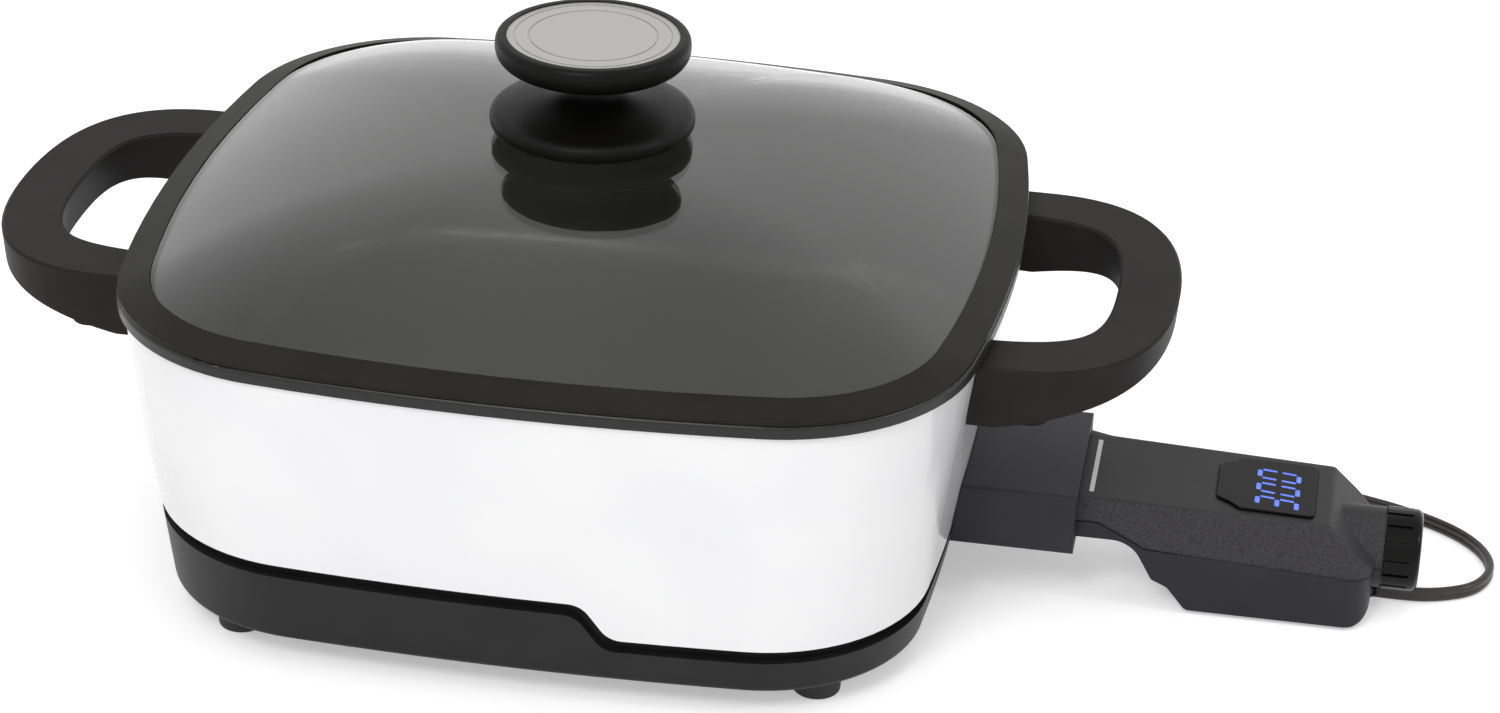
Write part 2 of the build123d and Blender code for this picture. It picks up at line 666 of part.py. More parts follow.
# ---------------------------------------------------------------- probe guard
# A flat sleeve over the terminal block that the heat control's snout slides into.
with BuildPart() as probe_guard:
    with BuildSketch(Plane.YZ.offset(block_root_x)):
        with Locations((0, (GUARD_BOTTOM_Z + GUARD_TOP_Z) / 2)):
            Rectangle(2 * GUARD_HALF_Y, GUARD_TOP_Z - GUARD_BOTTOM_Z)
    extrude(amount=GUARD_END_X - block_root_x)
    fillet(probe_guard.edges().filter_by(Axis.X), GUARD_EDGE_RADIUS)
    with BuildSketch(Plane.YZ.offset(block_root_x)):
        with Locations((0, (GUARD_BOTTOM_Z + GUARD_TOP_Z) / 2)):
            Rectangle(2 * (GUARD_HALF_Y - GUARD_WALL), GUARD_TOP_Z - GUARD_BOTTOM_Z - 2 * GUARD_WALL)
    extrude(amount=GUARD_END_X - block_root_x, mode=Mode.SUBTRACT)
    loft(
        sections=[
            body_outline(GUARD_BOTTOM_Z - GUARD_WALL, -CLEAR_FIT),
            body_outline(GUARD_TOP_Z + GUARD_WALL, -CLEAR_FIT),
        ],
        mode=Mode.SUBTRACT,
    )
    with BuildSketch(Plane.XY.offset(GUARD_BOTTOM_Z)):
        with Locations((GUARD_SCREW_X, GUARD_SCREW_Y), (GUARD_SCREW_X, -GUARD_SCREW_Y)):
            Circle(SCREW_RADIUS + CLEAR_FIT)
    extrude(amount=GUARD_WALL, mode=Mode.SUBTRACT)
finish(probe_guard, "probe_guard")

guard_screws = screws(
    [(GUARD_SCREW_X, GUARD_SCREW_Y), (GUARD_SCREW_X, -GUARD_SCREW_Y)],
    GUARD_BOTTOM_Z,
    GUARD_WALL + CLEAR_FIT + SCREW_BITE,
)
finish(guard_screws, "guard_screws")


# ---------------------------------------------------------------- handles
# Flat-topped loops: two arms over the pan's tongues meet its wall under the lip, and the grip
# between them thins out.
loop_root_x = LOOP_INNER_START - WALL


def loop_outline(z, start, reach, half_y, squareness):
    """A flat D at height z: straight arms from the pan, joined by two quarter curves."""
    with BuildSketch(Plane.XY.offset(z)) as outline:
        with BuildLine():
            Line((loop_root_x, -half_y), (start, -half_y))
            Bezier(
                (start, -half_y),
                (between(start, reach, squareness), -half_y),
                (reach, -squareness * half_y),
                (reach, 0),
            )
            Bezier(
                (reach, 0),
                (reach, squareness * half_y),
                (between(start, reach, squareness), half_y),
                (start, half_y),
            )
            Line((start, half_y), (loop_root_x, half_y))
            Line((loop_root_x, half_y), (loop_root_x, -half_y))
        make_face()
    return outline.sketch


arm_bottom_z = HANDLE_TOP_Z - ARM_THICKNESS
grip_slope = (ARM_THICKNESS - GRIP_THICKNESS) / GRIP_SLOPE_LENGTH
bump_top_z = arm_bottom_z + grip_slope * (HANDLE_SCREW_REACH + BUMP_RADIUS)
bump_bottom_z = arm_bottom_z + grip_slope * HANDLE_SCREW_REACH - BUMP_HEIGHT
handle_screw_seat_z = bump_bottom_z + SCREW_HEAD_HEIGHT + CLEAR_FIT
arm_spots = [(HANDLE_SCREW_X, arm_y), (HANDLE_SCREW_X, -arm_y)]

with BuildPart() as right_handle:
    loft(
        sections=[
            loop_outline(
                arm_bottom_z,
                LOOP_OUTER_START,
                LOOP_OUTER_REACH - HANDLE_DRAFT,
                ARM_OUTER_Y - HANDLE_DRAFT,
                LOOP_OUTER_SQUARE,
            ),
            loop_outline(
                HANDLE_TOP_Z - HANDLE_EDGE,
                LOOP_OUTER_START,
                LOOP_OUTER_REACH,
                ARM_OUTER_Y,
                LOOP_OUTER_SQUARE,
            ),
            loop_outline(
                HANDLE_TOP_Z,
                LOOP_OUTER_START,
                LOOP_OUTER_REACH - HANDLE_EDGE,
                ARM_OUTER_Y - HANDLE_EDGE,
                LOOP_OUTER_SQUARE,
            ),
        ],
        ruled=True,
    )
    # the underside slopes up towards the grip
    with BuildSketch(Plane.XZ):
        with BuildLine():
            Polyline(
                (MOUTH_HALF_X - BLOCK_DEPTH, arm_bottom_z - grip_slope * BLOCK_DEPTH),
                (LOOP_OUTER_REACH, arm_bottom_z + grip_slope * LOOP_REACH),
                (LOOP_OUTER_REACH, arm_bottom_z - BLOCK_DEPTH),
                (MOUTH_HALF_X - BLOCK_DEPTH, arm_bottom_z - BLOCK_DEPTH),
                close=True,
            )
        make_face()
    extrude(amount=2 * ARM_OUTER_Y, both=True, mode=Mode.SUBTRACT)
    with BuildSketch(Plane.XY.offset(bump_bottom_z)):
        with Locations(*arm_spots):
            Circle(BUMP_RADIUS)
    extrude(amount=bump_top_z - bump_bottom_z)
    # the finger opening
    loft(
        sections=[
            loop_outline(
                arm_bottom_z - HANDLE_DRAFT,
                LOOP_INNER_START,
                LOOP_INNER_REACH + HANDLE_DRAFT,
                ARM_INNER_Y + HANDLE_DRAFT,
                LOOP_INNER_SQUARE,
            ),
            loop_outline(
                HANDLE_TOP_Z - HANDLE_EDGE,
                LOOP_INNER_START,
                LOOP_INNER_REACH,
                ARM_INNER_Y,
                LOOP_INNER_SQUARE,
            ),
            loop_outline(
                HANDLE_TOP_Z,
                LOOP_INNER_START,
                LOOP_INNER_REACH + HANDLE_EDGE,
                ARM_INNER_Y + HANDLE_EDGE,
                LOOP_INNER_SQUARE,
            ),
        ],
        ruled=True,
        mode=Mode.SUBTRACT,
    )
    # the arms' ends follow the pan's wall
    loft(
        sections=[body_outline(SEAM_LOW_Z, -CLEAR_FIT), body_outline(LIP_BOTTOM_Z, -CLEAR_FIT)],
        mode=Mode.SUBTRACT,
    )
    # sockets for the pan's tongues, and the screws' holes
    with BuildSketch(Plane.YZ.offset(loop_root_x)):
        with Locations((arm_y, tongue_z), (-arm_y, tongue_z)):
            Rectangle(TONGUE_WIDTH + 2 * CLEAR_FIT, TONGUE_HEIGHT + 2 * CLEAR_FIT)
    extrude(amount=TONGUE_END_X + CLEAR_FIT - loop_root_x, mode=Mode.SUBTRACT)
    with BuildSketch(Plane.XY.offset(bump_bottom_z)):
        with Locations(*arm_spots):
            Circle(SCREW_HEAD_RADIUS + CLEAR_FIT)
    extrude(amount=handle_screw_seat_z - bump_bottom_z, mode=Mode.SUBTRACT)
    with BuildSketch(Plane.XY.offset(handle_screw_seat_z)):
        with Locations(*arm_spots):
            Circle(SCREW_RADIUS + CLEAR_FIT)
    extrude(amount=tongue_z - handle_screw_seat_z, mode=Mode.SUBTRACT)
finish(right_handle, "right_handle")

with BuildPart() as left_handle:
    add(right_handle.part.mirror(Plane.YZ))
finish(left_handle, "left_handle")

handle_screw_length = tongue_z + TONGUE_HEIGHT / 2 - handle_screw_seat_z
right_handle_screws = screws(arm_spots, handle_screw_seat_z, handle_screw_length)
finish(right_handle_screws, "right_handle_screws")
left_handle_screws = screws([(-x, y) for x, y in arm_spots], handle_screw_seat_z, handle_screw_length)
finish(left_handle_screws, "left_handle_screws")


# ---------------------------------------------------------------- lid
# A tempered glass dome in a soft silicone rim that rests on the pan's lip.
def glass_section(z, scale, inward=0.0):
    """The glass's outline at height z, scaled about the lid's middle and moved inwards."""
    return bowed_outline(
        z,
        scale * (MOUTH_HALF_X - GLASS_EDGE_INSET) - inward,
        scale * (MOUTH_HALF_Y - GLASS_EDGE_INSET) - inward,
        scale * MOUTH_SIDE_BOW,
        scale * MOUTH_FRONT_BOW,
        scale * (MOUTH_CORNER - GLASS_EDGE_INSET) - inward,
    )


def dome_sections(edge_z, inward=0.0):
    """Sections of the dome from its edge up to its flat crown."""
    return [
        glass_section(edge_z + GLASS_RISE * (1 - scale**GLASS_FULLNESS), scale, inward)
        for scale in GLASS_SECTIONS
    ]


with BuildPart() as lid_glass:
    add(glass_section(GLASS_EDGE_Z - GLASS_THICKNESS, 1.0))
    extrude(amount=GLASS_THICKNESS)
    loft(sections=dome_sections(GLASS_EDGE_Z))
    loft(
        sections=dome_sections(GLASS_EDGE_Z - GLASS_THICKNESS, GLASS_GROUND_EDGE),
        mode=Mode.SUBTRACT,
    )
    with BuildSketch(Plane.XY.offset(GLASS_EDGE_Z)):
        Circle(GLASS_HOLE_RADIUS)
    extrude(amount=2 * GLASS_RISE, mode=Mode.SUBTRACT)
finish(lid_glass, "lid_glass")

rim_under_z = GLASS_EDGE_Z - GLASS_THICKNESS - RIM_UNDER_GLASS
rim_plug_z = LIP_TOP_Z - RIM_PLUG_DEPTH

with BuildPart() as lid_rim:
    add(mouth_outline(RIM_BOTTOM_Z, RIM_INSET))
    extrude(amount=RIM_EDGE_HEIGHT)
    loft(
        sections=[
            mouth_outline(RIM_EDGE_Z, RIM_INSET),
            mouth_outline(RIM_EDGE_Z + RIM_RISE, RIM_INNER_INSET, RIM_INNER_CORNER),
        ]
    )
    # the part inside the pan's mouth: under the glass, and down along the wall
    add(mouth_outline(rim_under_z, RIM_PLUG_INSET))
    extrude(amount=RIM_BOTTOM_Z - rim_under_z)
    add(mouth_outline(rim_plug_z, RIM_PLUG_INSET))
    extrude(amount=rim_under_z - rim_plug_z)
    add(mouth_outline(rim_plug_z, RIM_PLUG_INSET + RIM_PLUG_WALL))
    extrude(amount=rim_under_z - rim_plug_z, mode=Mode.SUBTRACT)
    add(mouth_outline(rim_under_z, RIM_INNER_INSET, RIM_INNER_CORNER))
    extrude(amount=2 * RIM_RISE + GLASS_THICKNESS, mode=Mode.SUBTRACT)
    add(lid_glass.part, mode=Mode.SUBTRACT)
finish(lid_rim, "lid_rim")

# ---------------------------------------------------------------- knob
with BuildPart() as knob_gasket:
    with BuildSketch(Plane.XY.offset(GLASS_CROWN_Z)):
        Circle(GASKET_RADIUS)
        Circle(KNOB_SCREW_RADIUS + CLEAR_FIT, mode=Mode.SUBTRACT)
    extrude(amount=GASKET_THICKNESS)
finish(knob_gasket, "knob_gasket")

collar_edge_low_z = COLLAR_Z + COLLAR_EDGE_Z
collar_edge_mid_z = collar_edge_low_z + COLLAR_EDGE_HEIGHT / 2
collar_edge_top_z = collar_edge_low_z + COLLAR_EDGE_HEIGHT
collar_shoulder = COLLAR_RADIUS - COLLAR_EDGE_ROUND
with BuildPart() as knob_collar:
    with BuildSketch(Plane.XZ):
        with BuildLine():
            Polyline(
                (KNOB_SCREW_RADIUS + CLEAR_FIT, COLLAR_Z),
                (COLLAR_FOOT_RADIUS, COLLAR_Z),
                (collar_shoulder, collar_edge_low_z),
            )
            # thick rounded edge, then a hollow slope up to the neck
            Bezier(
                (collar_shoulder, collar_edge_low_z),
                (COLLAR_RADIUS, collar_edge_low_z + COLLAR_EDGE_Z / 2),
                (COLLAR_RADIUS, between(collar_edge_low_z, collar_edge_mid_z, 0.6)),
                (COLLAR_RADIUS, collar_edge_mid_z),
            )
            Bezier(
                (COLLAR_RADIUS, collar_edge_mid_z),
                (COLLAR_RADIUS, between(collar_edge_mid_z, collar_edge_top_z, 0.6)),
                (COLLAR_RADIUS - COLLAR_EDGE_ROUND / 3, collar_edge_top_z - COLLAR_EDGE_ROUND / 5),
                (collar_shoulder, collar_edge_top_z),
            )
            Bezier(
                (collar_shoulder, collar_edge_top_z),
                (2.2 * NECK_RADIUS, collar_edge_top_z + COLLAR_EDGE_ROUND),
                (NECK_RADIUS, COLLAR_Z + COLLAR_HEIGHT * 0.6),
                (NECK_RADIUS, KNOB_Z),
            )
            Polyline(
                (NECK_RADIUS, KNOB_Z),
                (KNOB_SCREW_RADIUS + CLEAR_FIT, KNOB_Z),
                (KNOB_SCREW_RADIUS + CLEAR_FIT, COLLAR_Z),
            )
        make_face()
    revolve(axis=Axis.Z)
finish(knob_collar, "knob_collar")

knob_recess_z = KNOB_TOP_Z - INSERT_THICKNESS - INSERT_SUNK
with BuildPart() as knob_body:
    with BuildSketch(Plane.XZ):
        with BuildLine():
            Polyline(
                (0, KNOB_Z),
                (KNOB_STEM_RADIUS, KNOB_Z),
                (KNOB_STEM_RADIUS, KNOB_DISC_Z),
                (KNOB_UNDER_RADIUS, KNOB_DISC_Z),
            )
            Bezier(
                (KNOB_UNDER_RADIUS, KNOB_DISC_Z),
                (KNOB_RADIUS, KNOB_DISC_Z),
                (KNOB_RADIUS, KNOB_DISC_Z + KNOB_THICKNESS / 2),
                (KNOB_RADIUS, KNOB_WIDEST_Z),
            )
            Bezier(
                (KNOB_RADIUS, KNOB_WIDEST_Z),
                (KNOB_RADIUS, KNOB_TOP_Z),
                (KNOB_RADIUS - KNOB_TOP_ROUND / 2, KNOB_TOP_Z),
                (KNOB_RADIUS - KNOB_TOP_ROUND, KNOB_TOP_Z),
            )
            Polyline(
                (KNOB_RADIUS - KNOB_TOP_ROUND, KNOB_TOP_Z),
                (INSERT_RADIUS + CLOSE_FIT, KNOB_TOP_Z),
                (INSERT_RADIUS + CLOSE_FIT, knob_recess_z),
                (0, knob_recess_z),
                (0, KNOB_Z),
            )
        make_face()
    revolve(axis=Axis.Z)
    with BuildSketch(Plane.XY.offset(KNOB_Z)):
        Circle(KNOB_SCREW_RADIUS + CLOSE_FIT)
    extrude(amount=KNOB_SCREW_BITE + CLEAR_FIT, mode=Mode.SUBTRACT)
finish(knob_body, "knob_body")

# a spun metal disc with a raised border and shallow rings turned in its face
with BuildPart() as knob_insert:
    with BuildSketch(Plane.XY.offset(knob_recess_z)):
        Circle(INSERT_RADIUS)
    extrude(amount=INSERT_THICKNESS)
    for radius in INSERT_RINGS:
        with BuildSketch(Plane.XY.offset(knob_recess_z + INSERT_THICKNESS - INSERT_GROOVE)):
            Circle(radius + INSERT_GROOVE)
            Circle(radius - INSERT_GROOVE, mode=Mode.SUBTRACT)
        extrude(amount=INSERT_GROOVE, mode=Mode.SUBTRACT)
finish(knob_insert, "knob_insert")

glass_under_z = GLASS_CROWN_Z - GLASS_THICKNESS
with BuildPart() as knob_washer:
    with BuildSketch(Plane.XY.offset(glass_under_z - WASHER_THICKNESS)):
        Circle(WASHER_RADIUS)
        Circle(KNOB_SCREW_RADIUS + CLEAR_FIT, mode=Mode.SUBTRACT)
    extrude(amount=WASHER_THICKNESS)
finish(knob_washer, "knob_washer")

knob_screw_seat_z = glass_under_z - WASHER_THICKNESS
knob_screw = screws(
    [(0, 0)],
    knob_screw_seat_z,
    KNOB_Z + KNOB_SCREW_BITE - knob_screw_seat_z,
    KNOB_SCREW_HEAD_RADIUS,
    KNOB_SCREW_RADIUS,
)
finish(knob_screw, "knob_screw")


# ---------------------------------------------------------------- heat control
# A moulded housing in two halves: a flat snout that plugs into the guard, and a deep body
# with the display, the electronics and the dial.
def control_plan(z, inward, tip_half_y, end_half_y):
    """The heat control's outline seen from above, at height z and moved inwards by a wall."""
    with BuildSketch(Plane.XY.offset(z)) as plan:
        with BuildLine():
            FilletPolyline(
                (SNOUT_TIP_X + inward, inward - tip_half_y),
                (CONTROL_END_X - inward, inward - end_half_y),
                (CONTROL_END_X - inward, end_half_y - inward),
                (SNOUT_TIP_X + inward, tip_half_y - inward),
                close=True,
                radius=[
                    SNOUT_TIP_CORNER,
                    CONTROL_CORNER - inward,
                    CONTROL_CORNER - inward,
                    SNOUT_TIP_CORNER,
                ],
            )
        make_face()
    return plan.sketch


def belly_spot(spot):
    """A corner of the belly's underside, from its distance before the control's end."""
    return (CONTROL_END_X - spot[0], spot[1])


def control_block(inward=0.0):
    """The housing's outer form, or the same form moved inwards by a wall."""
    back_end = SNOUT_TIP_X - WALL
    with BuildPart() as block:
        # upright sides below the parting line, and sides that lean in above it
        low_plan = control_plan(CONTROL_BOTTOM_Z - WALL, inward, CONTROL_HALF_Y, CONTROL_HALF_Y)
        mid_plan = control_plan(PART_LINE_BACK_Z, inward, CONTROL_HALF_Y, CONTROL_HALF_Y)
        top_plan = control_plan(
            SNOUT_TOP_Z, inward, CONTROL_TOP_TIP_HALF_Y, CONTROL_TOP_END_HALF_Y
        )
        loft(sections=[low_plan, mid_plan])
        loft(sections=[mid_plan, top_plan], ruled=True)
        with BuildSketch(Plane.XZ):
            with BuildLine():
                FilletPolyline(
                    (back_end, SNOUT_BOTTOM_Z),
                    (CONTROL_END_X - BELLY_TOP[0], SNOUT_BOTTOM_Z),
                    *[belly_spot(step) for step in BELLY_STEPS],
                    (CONTROL_END_X - BELLY_FOOT[0], CONTROL_BOTTOM_Z),
                    (CONTROL_END_X, CONTROL_BOTTOM_Z),
                    (CONTROL_END_X, CONTROL_BACK_TOP_Z - CONTROL_SLOPE_DROP),
                    radius=[
                        BELLY_TOP[1],
                        *[step[2] for step in BELLY_STEPS],
                        BELLY_FOOT[1],
                        CONTROL_FOOT_ROUND,
                    ],
                )
                FilletPolyline(
                    (CONTROL_END_X, CONTROL_BACK_TOP_Z - CONTROL_SLOPE_DROP),
                    (CONTROL_BACK_X, CONTROL_BACK_TOP_Z),
                    (GUARD_END_X, SNOUT_TOP_Z),
                    radius=CONTROL_TOP_ROUND,
                )
                Polyline(
                    (GUARD_END_X, SNOUT_TOP_Z), (back_end, SNOUT_TOP_Z), (back_end, SNOUT_BOTTOM_Z)
                )
            make_face()
            if inward:
                offset(amount=-inward, kind=Kind.INTERSECTION)
        extrude(amount=BIG, both=True, mode=Mode.INTERSECT)
    return block


top_tilt = degrees(atan((SNOUT_TOP_Z - CONTROL_BACK_TOP_Z) / (CONTROL_BACK_X - GUARD_END_X)))
window_mid_x = WINDOW_START_X + WINDOW_LENGTH / 2
window_mid_z = between(
    SNOUT_TOP_Z, CONTROL_BACK_TOP_Z, (window_mid_x - GUARD_END_X) / (CONTROL_BACK_X - GUARD_END_X)
)
window_plane = Plane(origin=(window_mid_x, 0, window_mid_z)).rotated((0, top_tilt, 0))
window_bottom = WINDOW_PROUD - WINDOW_THICKNESS
socket_start_x = SNOUT_TIP_X + HOUSING_WALL
socket_places = [(ELEMENT_LEAD_Y, PIN_Z), (-ELEMENT_LEAD_Y, PIN_Z)]
board_places = [
    (x, y)
    for x in (BOARD_START_X + BOARD_POST_INSET, BOARD_START_X + BOARD_LENGTH - BOARD_POST_INSET)
    for y in (BOARD_HALF_Y - BOARD_POST_INSET, BOARD_POST_INSET - BOARD_HALF_Y)
]
rear_screw_x = CONTROL_END_X - REAR_SCREW[0]
front_screw_x = CONTROL_END_X - FRONT_SCREW[0]
part_line_front_z = SNOUT_TOP_Z - PART_LINE_FRONT_DROP
screw_places = [
    (x, sign * y)
    for x, y in ((rear_screw_x, REAR_SCREW[1]), (front_screw_x, FRONT_SCREW[1]))
    for sign in (1, -1)
]
screw_seats = {rear_screw_x: CONTROL_BOTTOM_Z, front_screw_x: SNOUT_BOTTOM_Z}
screw_tops = {
    rear_screw_x: PART_LINE_BACK_Z + HOUSING_SCREW_BITE,
    front_screw_x: part_line_front_z + HOUSING_SCREW_BITE,
}


def window_outline(clearance=0.0):
    """The window and its bare tab in one outline, as it lies in the housing's top."""
    half_length = WINDOW_LENGTH / 2
    side = [
        (half_length, WINDOW_HALF_Y, WINDOW_CORNER),
        (-half_length, WINDOW_HALF_Y, WINDOW_CORNER),
        (-half_length - TAB_FLARE_LENGTH, TAB_FLARE_HALF_Y, WINDOW_CORNER),
        (-half_length - TAB_LENGTH, TAB_HALF_Y, WINDOW_CORNER),
    ]
    spots = side + [(x, -y, radius) for x, y, radius in reversed(side)]
    with BuildSketch() as outline:
        with BuildLine():
            FilletPolyline(
                *[(x, y) for x, y, _ in spots], close=True, radius=[spot[2] for spot in spots]
            )
        make_face()
        if clearance:
            offset(amount=clearance)
    return outline.sketch


def cord_start():
    """Where the cord leaves the strain relief, and the way it points there."""
    first = Vector(*CORD_ROUTE[0])
    return first, (Vector(*CORD_ROUTE[1]) - first).normalized()


def strain_relief(clearance=0.0):
    """The tapered sleeve round the cord, or the hole that holds it."""
    tip, direction = cord_start()
    with BuildPart() as relief:
        with BuildSketch(Plane(origin=tip - direction * RELIEF_LENGTH, z_dir=direction)):
            Circle(RELIEF_BIG_RADIUS + clearance)
        with BuildSketch(Plane(origin=tip, z_dir=direction)):
            Circle(RELIEF_TIP_RADIUS + clearance)
        loft()
    return relief


def times_met(edge, edges):
    """How many of the edges lie where this one does, itself included."""
    return sum((edge.center() - other.center()).length < CLOSE_FIT for other in edges)


with BuildPart() as parting:
    with BuildSketch(Plane.XZ):
        with BuildLine():
            FilletPolyline(
                (SNOUT_TIP_X - WALL, part_line_front_z),
                (CONTROL_END_X - PART_LINE_DROP_START, part_line_front_z),
                (CONTROL_END_X - PART_LINE_DROP_END, PART_LINE_BACK_Z + PART_LINE_MID_RISE),
                (NECK_END_X + WALL, PART_LINE_BACK_Z),
                radius=PART_LINE_RADIUS,
            )
            Polyline(
                (NECK_END_X + WALL, PART_LINE_BACK_Z),
                (NECK_END_X + WALL, -BIG),
                (SNOUT_TIP_X - WALL, -BIG),
                (SNOUT_TIP_X - WALL, part_line_front_z),
            )
        make_face()
    extrude(amount=BIG, both=True)

with BuildPart() as inner_posts:
    # posts for the board, and bosses for the screws that close the housing
    with BuildSketch():
        with Locations(*board_places):
            Circle(BOARD_POST_RADIUS)
    extrude(amount=BOARD_Z)
    with BuildSketch():
        with Locations(*screw_places):
            Circle(HOUSING_BOSS_RADIUS)
    extrude(amount=SNOUT_TOP_Z)
    add(control_block(HOUSING_WALL / 2).part, mode=Mode.INTERSECT)

with BuildPart() as housing:
    add(control_block().part)
    # rounded edges all round the top and the slope
    top_faces = [face for face in housing.faces() if face.normal_at().Z > 0.4]
    top_edges = [edge for face in top_faces for edge in face.edges()]
    fillet([edge for edge in top_edges if times_met(edge, top_edges) == 1], CONTROL_EDGE_RADIUS)
    # hollow neck that the dial turns on
    with BuildSketch(Plane.YZ.offset(CONTROL_BACK_X)):
        with Locations((0, DIAL_Z)):
            Circle(HOUSING_NECK_RADIUS)
    extrude(amount=NECK_END_X - CONTROL_BACK_X)
    add(control_block(HOUSING_WALL).part, mode=Mode.SUBTRACT)
    with BuildSketch(Plane.YZ.offset(CONTROL_BACK_X + HOUSING_WALL)):
        with Locations((0, DIAL_Z)):
            Circle(HOUSING_NECK_RADIUS - HOUSING_WALL)
    extrude(amount=NECK_END_X - CONTROL_BACK_X - 2 * HOUSING_WALL, mode=Mode.SUBTRACT)
    add(inner_posts.part)
    # window and its ledge
    with BuildSketch(window_plane.offset(window_bottom)):
        add(window_outline(CLOSE_FIT))
    extrude(amount=2 * WINDOW_THICKNESS, mode=Mode.SUBTRACT)
    with BuildSketch(window_plane.offset(window_bottom)):
        Rectangle(WINDOW_LENGTH - 2 * WINDOW_LEDGE, 2 * (WINDOW_HALF_Y - WINDOW_LEDGE))
    extrude(amount=-HOUSING_WALL, mode=Mode.SUBTRACT)
    # holes for the pins, the probe and the dial's shaft
    with BuildSketch(Plane.YZ.offset(SNOUT_TIP_X)):
        with Locations(*socket_places):
            Circle(PIN_RADIUS + 2 * CLEAR_FIT)
        with Locations((0, PIN_Z)):
            Circle(PROBE_RADIUS + CLOSE_FIT)
    extrude(amount=HOUSING_WALL, mode=Mode.SUBTRACT)
    with BuildSketch(Plane.YZ.offset(NECK_END_X)):
        with Locations((0, DIAL_Z)):
            Circle(SHAFT_RADIUS + CLOSE_FIT)
    extrude(amount=-HOUSING_WALL, mode=Mode.SUBTRACT)
    add(strain_relief(CLOSE_FIT).part, mode=Mode.SUBTRACT)
    # the screws' holes, with their heads sunk from below
    for x, y in screw_places:
        with BuildSketch(Plane.XY.offset(screw_seats[x])):
            with Locations((x, y)):
                Circle(HOUSING_SCREW_HEAD_RADIUS + CLEAR_FIT)
        extrude(amount=SCREW_HEAD_HEIGHT, mode=Mode.SUBTRACT)
        with BuildSketch(Plane.XY.offset(screw_seats[x] + SCREW_HEAD_HEIGHT)):
            with Locations((x, y)):
                Circle(HOUSING_SCREW_RADIUS + CLOSE_FIT)
        extrude(amount=screw_tops[x] - screw_seats[x] - SCREW_HEAD_HEIGHT, mode=Mode.SUBTRACT)

with BuildPart() as control_lower_housing:
    add(housing.part)
    add(parting.part, mode=Mode.INTERSECT)
finish(control_lower_housing, "control_lower_housing")

with BuildPart() as control_upper_housing:
    add(housing.part)
    add(parting.part, mode=Mode.SUBTRACT)
finish(control_upper_housing, "control_upper_housing")

screw_groups = {"front_housing_screws": front_screw_x, "rear_housing_screws": rear_screw_x}
for name, x in screw_groups.items():
    seat_z = screw_seats[x] + SCREW_HEAD_HEIGHT
    group = screws(
        [place for place in screw_places if place[0] == x],
        seat_z,
        screw_tops[x] - seat_z - CLEAR_FIT,
        HOUSING_SCREW_HEAD_RADIUS,
        HOUSING_SCREW_RADIUS,
    )
    finish(group, name)

# ---------------------------------------------------------------- display and electronics
with BuildPart() as display_window:
    with BuildSketch(window_plane.offset(window_bottom)):
        add(window_outline())
    extrude(amount=WINDOW_THICKNESS)
    fillet(display_window.faces().sort_by(Axis.Z)[-1].edges(), WINDOW_EDGE_RADIUS)
finish(display_window, "display_window")

with BuildPart() as display_module:
    with BuildSketch(window_plane.offset(window_bottom)):
        Rectangle(DISPLAY_LENGTH, 2 * DISPLAY_HALF_Y)
    extrude(amount=-DISPLAY_THICKNESS)
finish(display_module, "display_module")

board_mid_x = BOARD_START_X + BOARD_LENGTH / 2
with BuildPart() as circuit_board:
    with BuildSketch(Plane.XY.offset(BOARD_Z)):
        with Locations((board_mid_x, 0)):
            Rectangle(BOARD_LENGTH, 2 * BOARD_HALF_Y)
    extrude(amount=BOARD_THICKNESS)
finish(circuit_board, "circuit_board")

with BuildPart() as relay:
    with BuildSketch(Plane.XY.offset(BOARD_Z + BOARD_THICKNESS)):
        with Locations((BOARD_START_X + RELAY_INSET + RELAY_LENGTH / 2, 0)):
            Rectangle(RELAY_LENGTH, 2 * RELAY_HALF_Y)
    extrude(amount=RELAY_HEIGHT)
    fillet(relay.edges().group_by(Axis.Z)[-1], CLEAR_FIT)
finish(relay, "relay")

encoder_face_x = NECK_END_X - HOUSING_WALL
with BuildPart() as dial_encoder:
    with BuildSketch(Plane.YZ.offset(encoder_face_x)):
        with Locations((0, DIAL_Z)):
            Rectangle(ENCODER_SIZE, ENCODER_SIZE)
            Circle(SHAFT_RADIUS + CLOSE_FIT, mode=Mode.SUBTRACT)
    extrude(amount=-ENCODER_LENGTH)
finish(dial_encoder, "dial_encoder")

with BuildPart() as terminal_sockets:
    with BuildSketch(Plane.YZ.offset(socket_start_x)):
        with Locations(*socket_places):
            Circle(SOCKET_RADIUS)
            Circle(SOCKET_RADIUS - SOCKET_WALL, mode=Mode.SUBTRACT)
    extrude(amount=SOCKET_LENGTH)
finish(terminal_sockets, "terminal_sockets")

carrier_height = SNOUT_TOP_Z - SNOUT_BOTTOM_Z - 2 * HOUSING_WALL - 2 * CLOSE_FIT
carrier_half_y = CONTROL_TOP_TIP_HALF_Y - HOUSING_WALL - 2 * CLEAR_FIT
with BuildPart() as terminal_carrier:
    with BuildSketch(Plane.YZ.offset(socket_start_x + CARRIER_START)):
        with Locations((0, (SNOUT_TOP_Z + SNOUT_BOTTOM_Z) / 2)):
            RectangleRounded(2 * carrier_half_y, carrier_height, SNOUT_TIP_CORNER)
        with Locations(*socket_places):
            Circle(SOCKET_RADIUS + CLOSE_FIT, mode=Mode.SUBTRACT)
        with Locations((0, PIN_Z)):
            Circle(PROBE_RADIUS + CLOSE_FIT, mode=Mode.SUBTRACT)
    extrude(amount=CARRIER_LENGTH)
finish(terminal_carrier, "terminal_carrier")

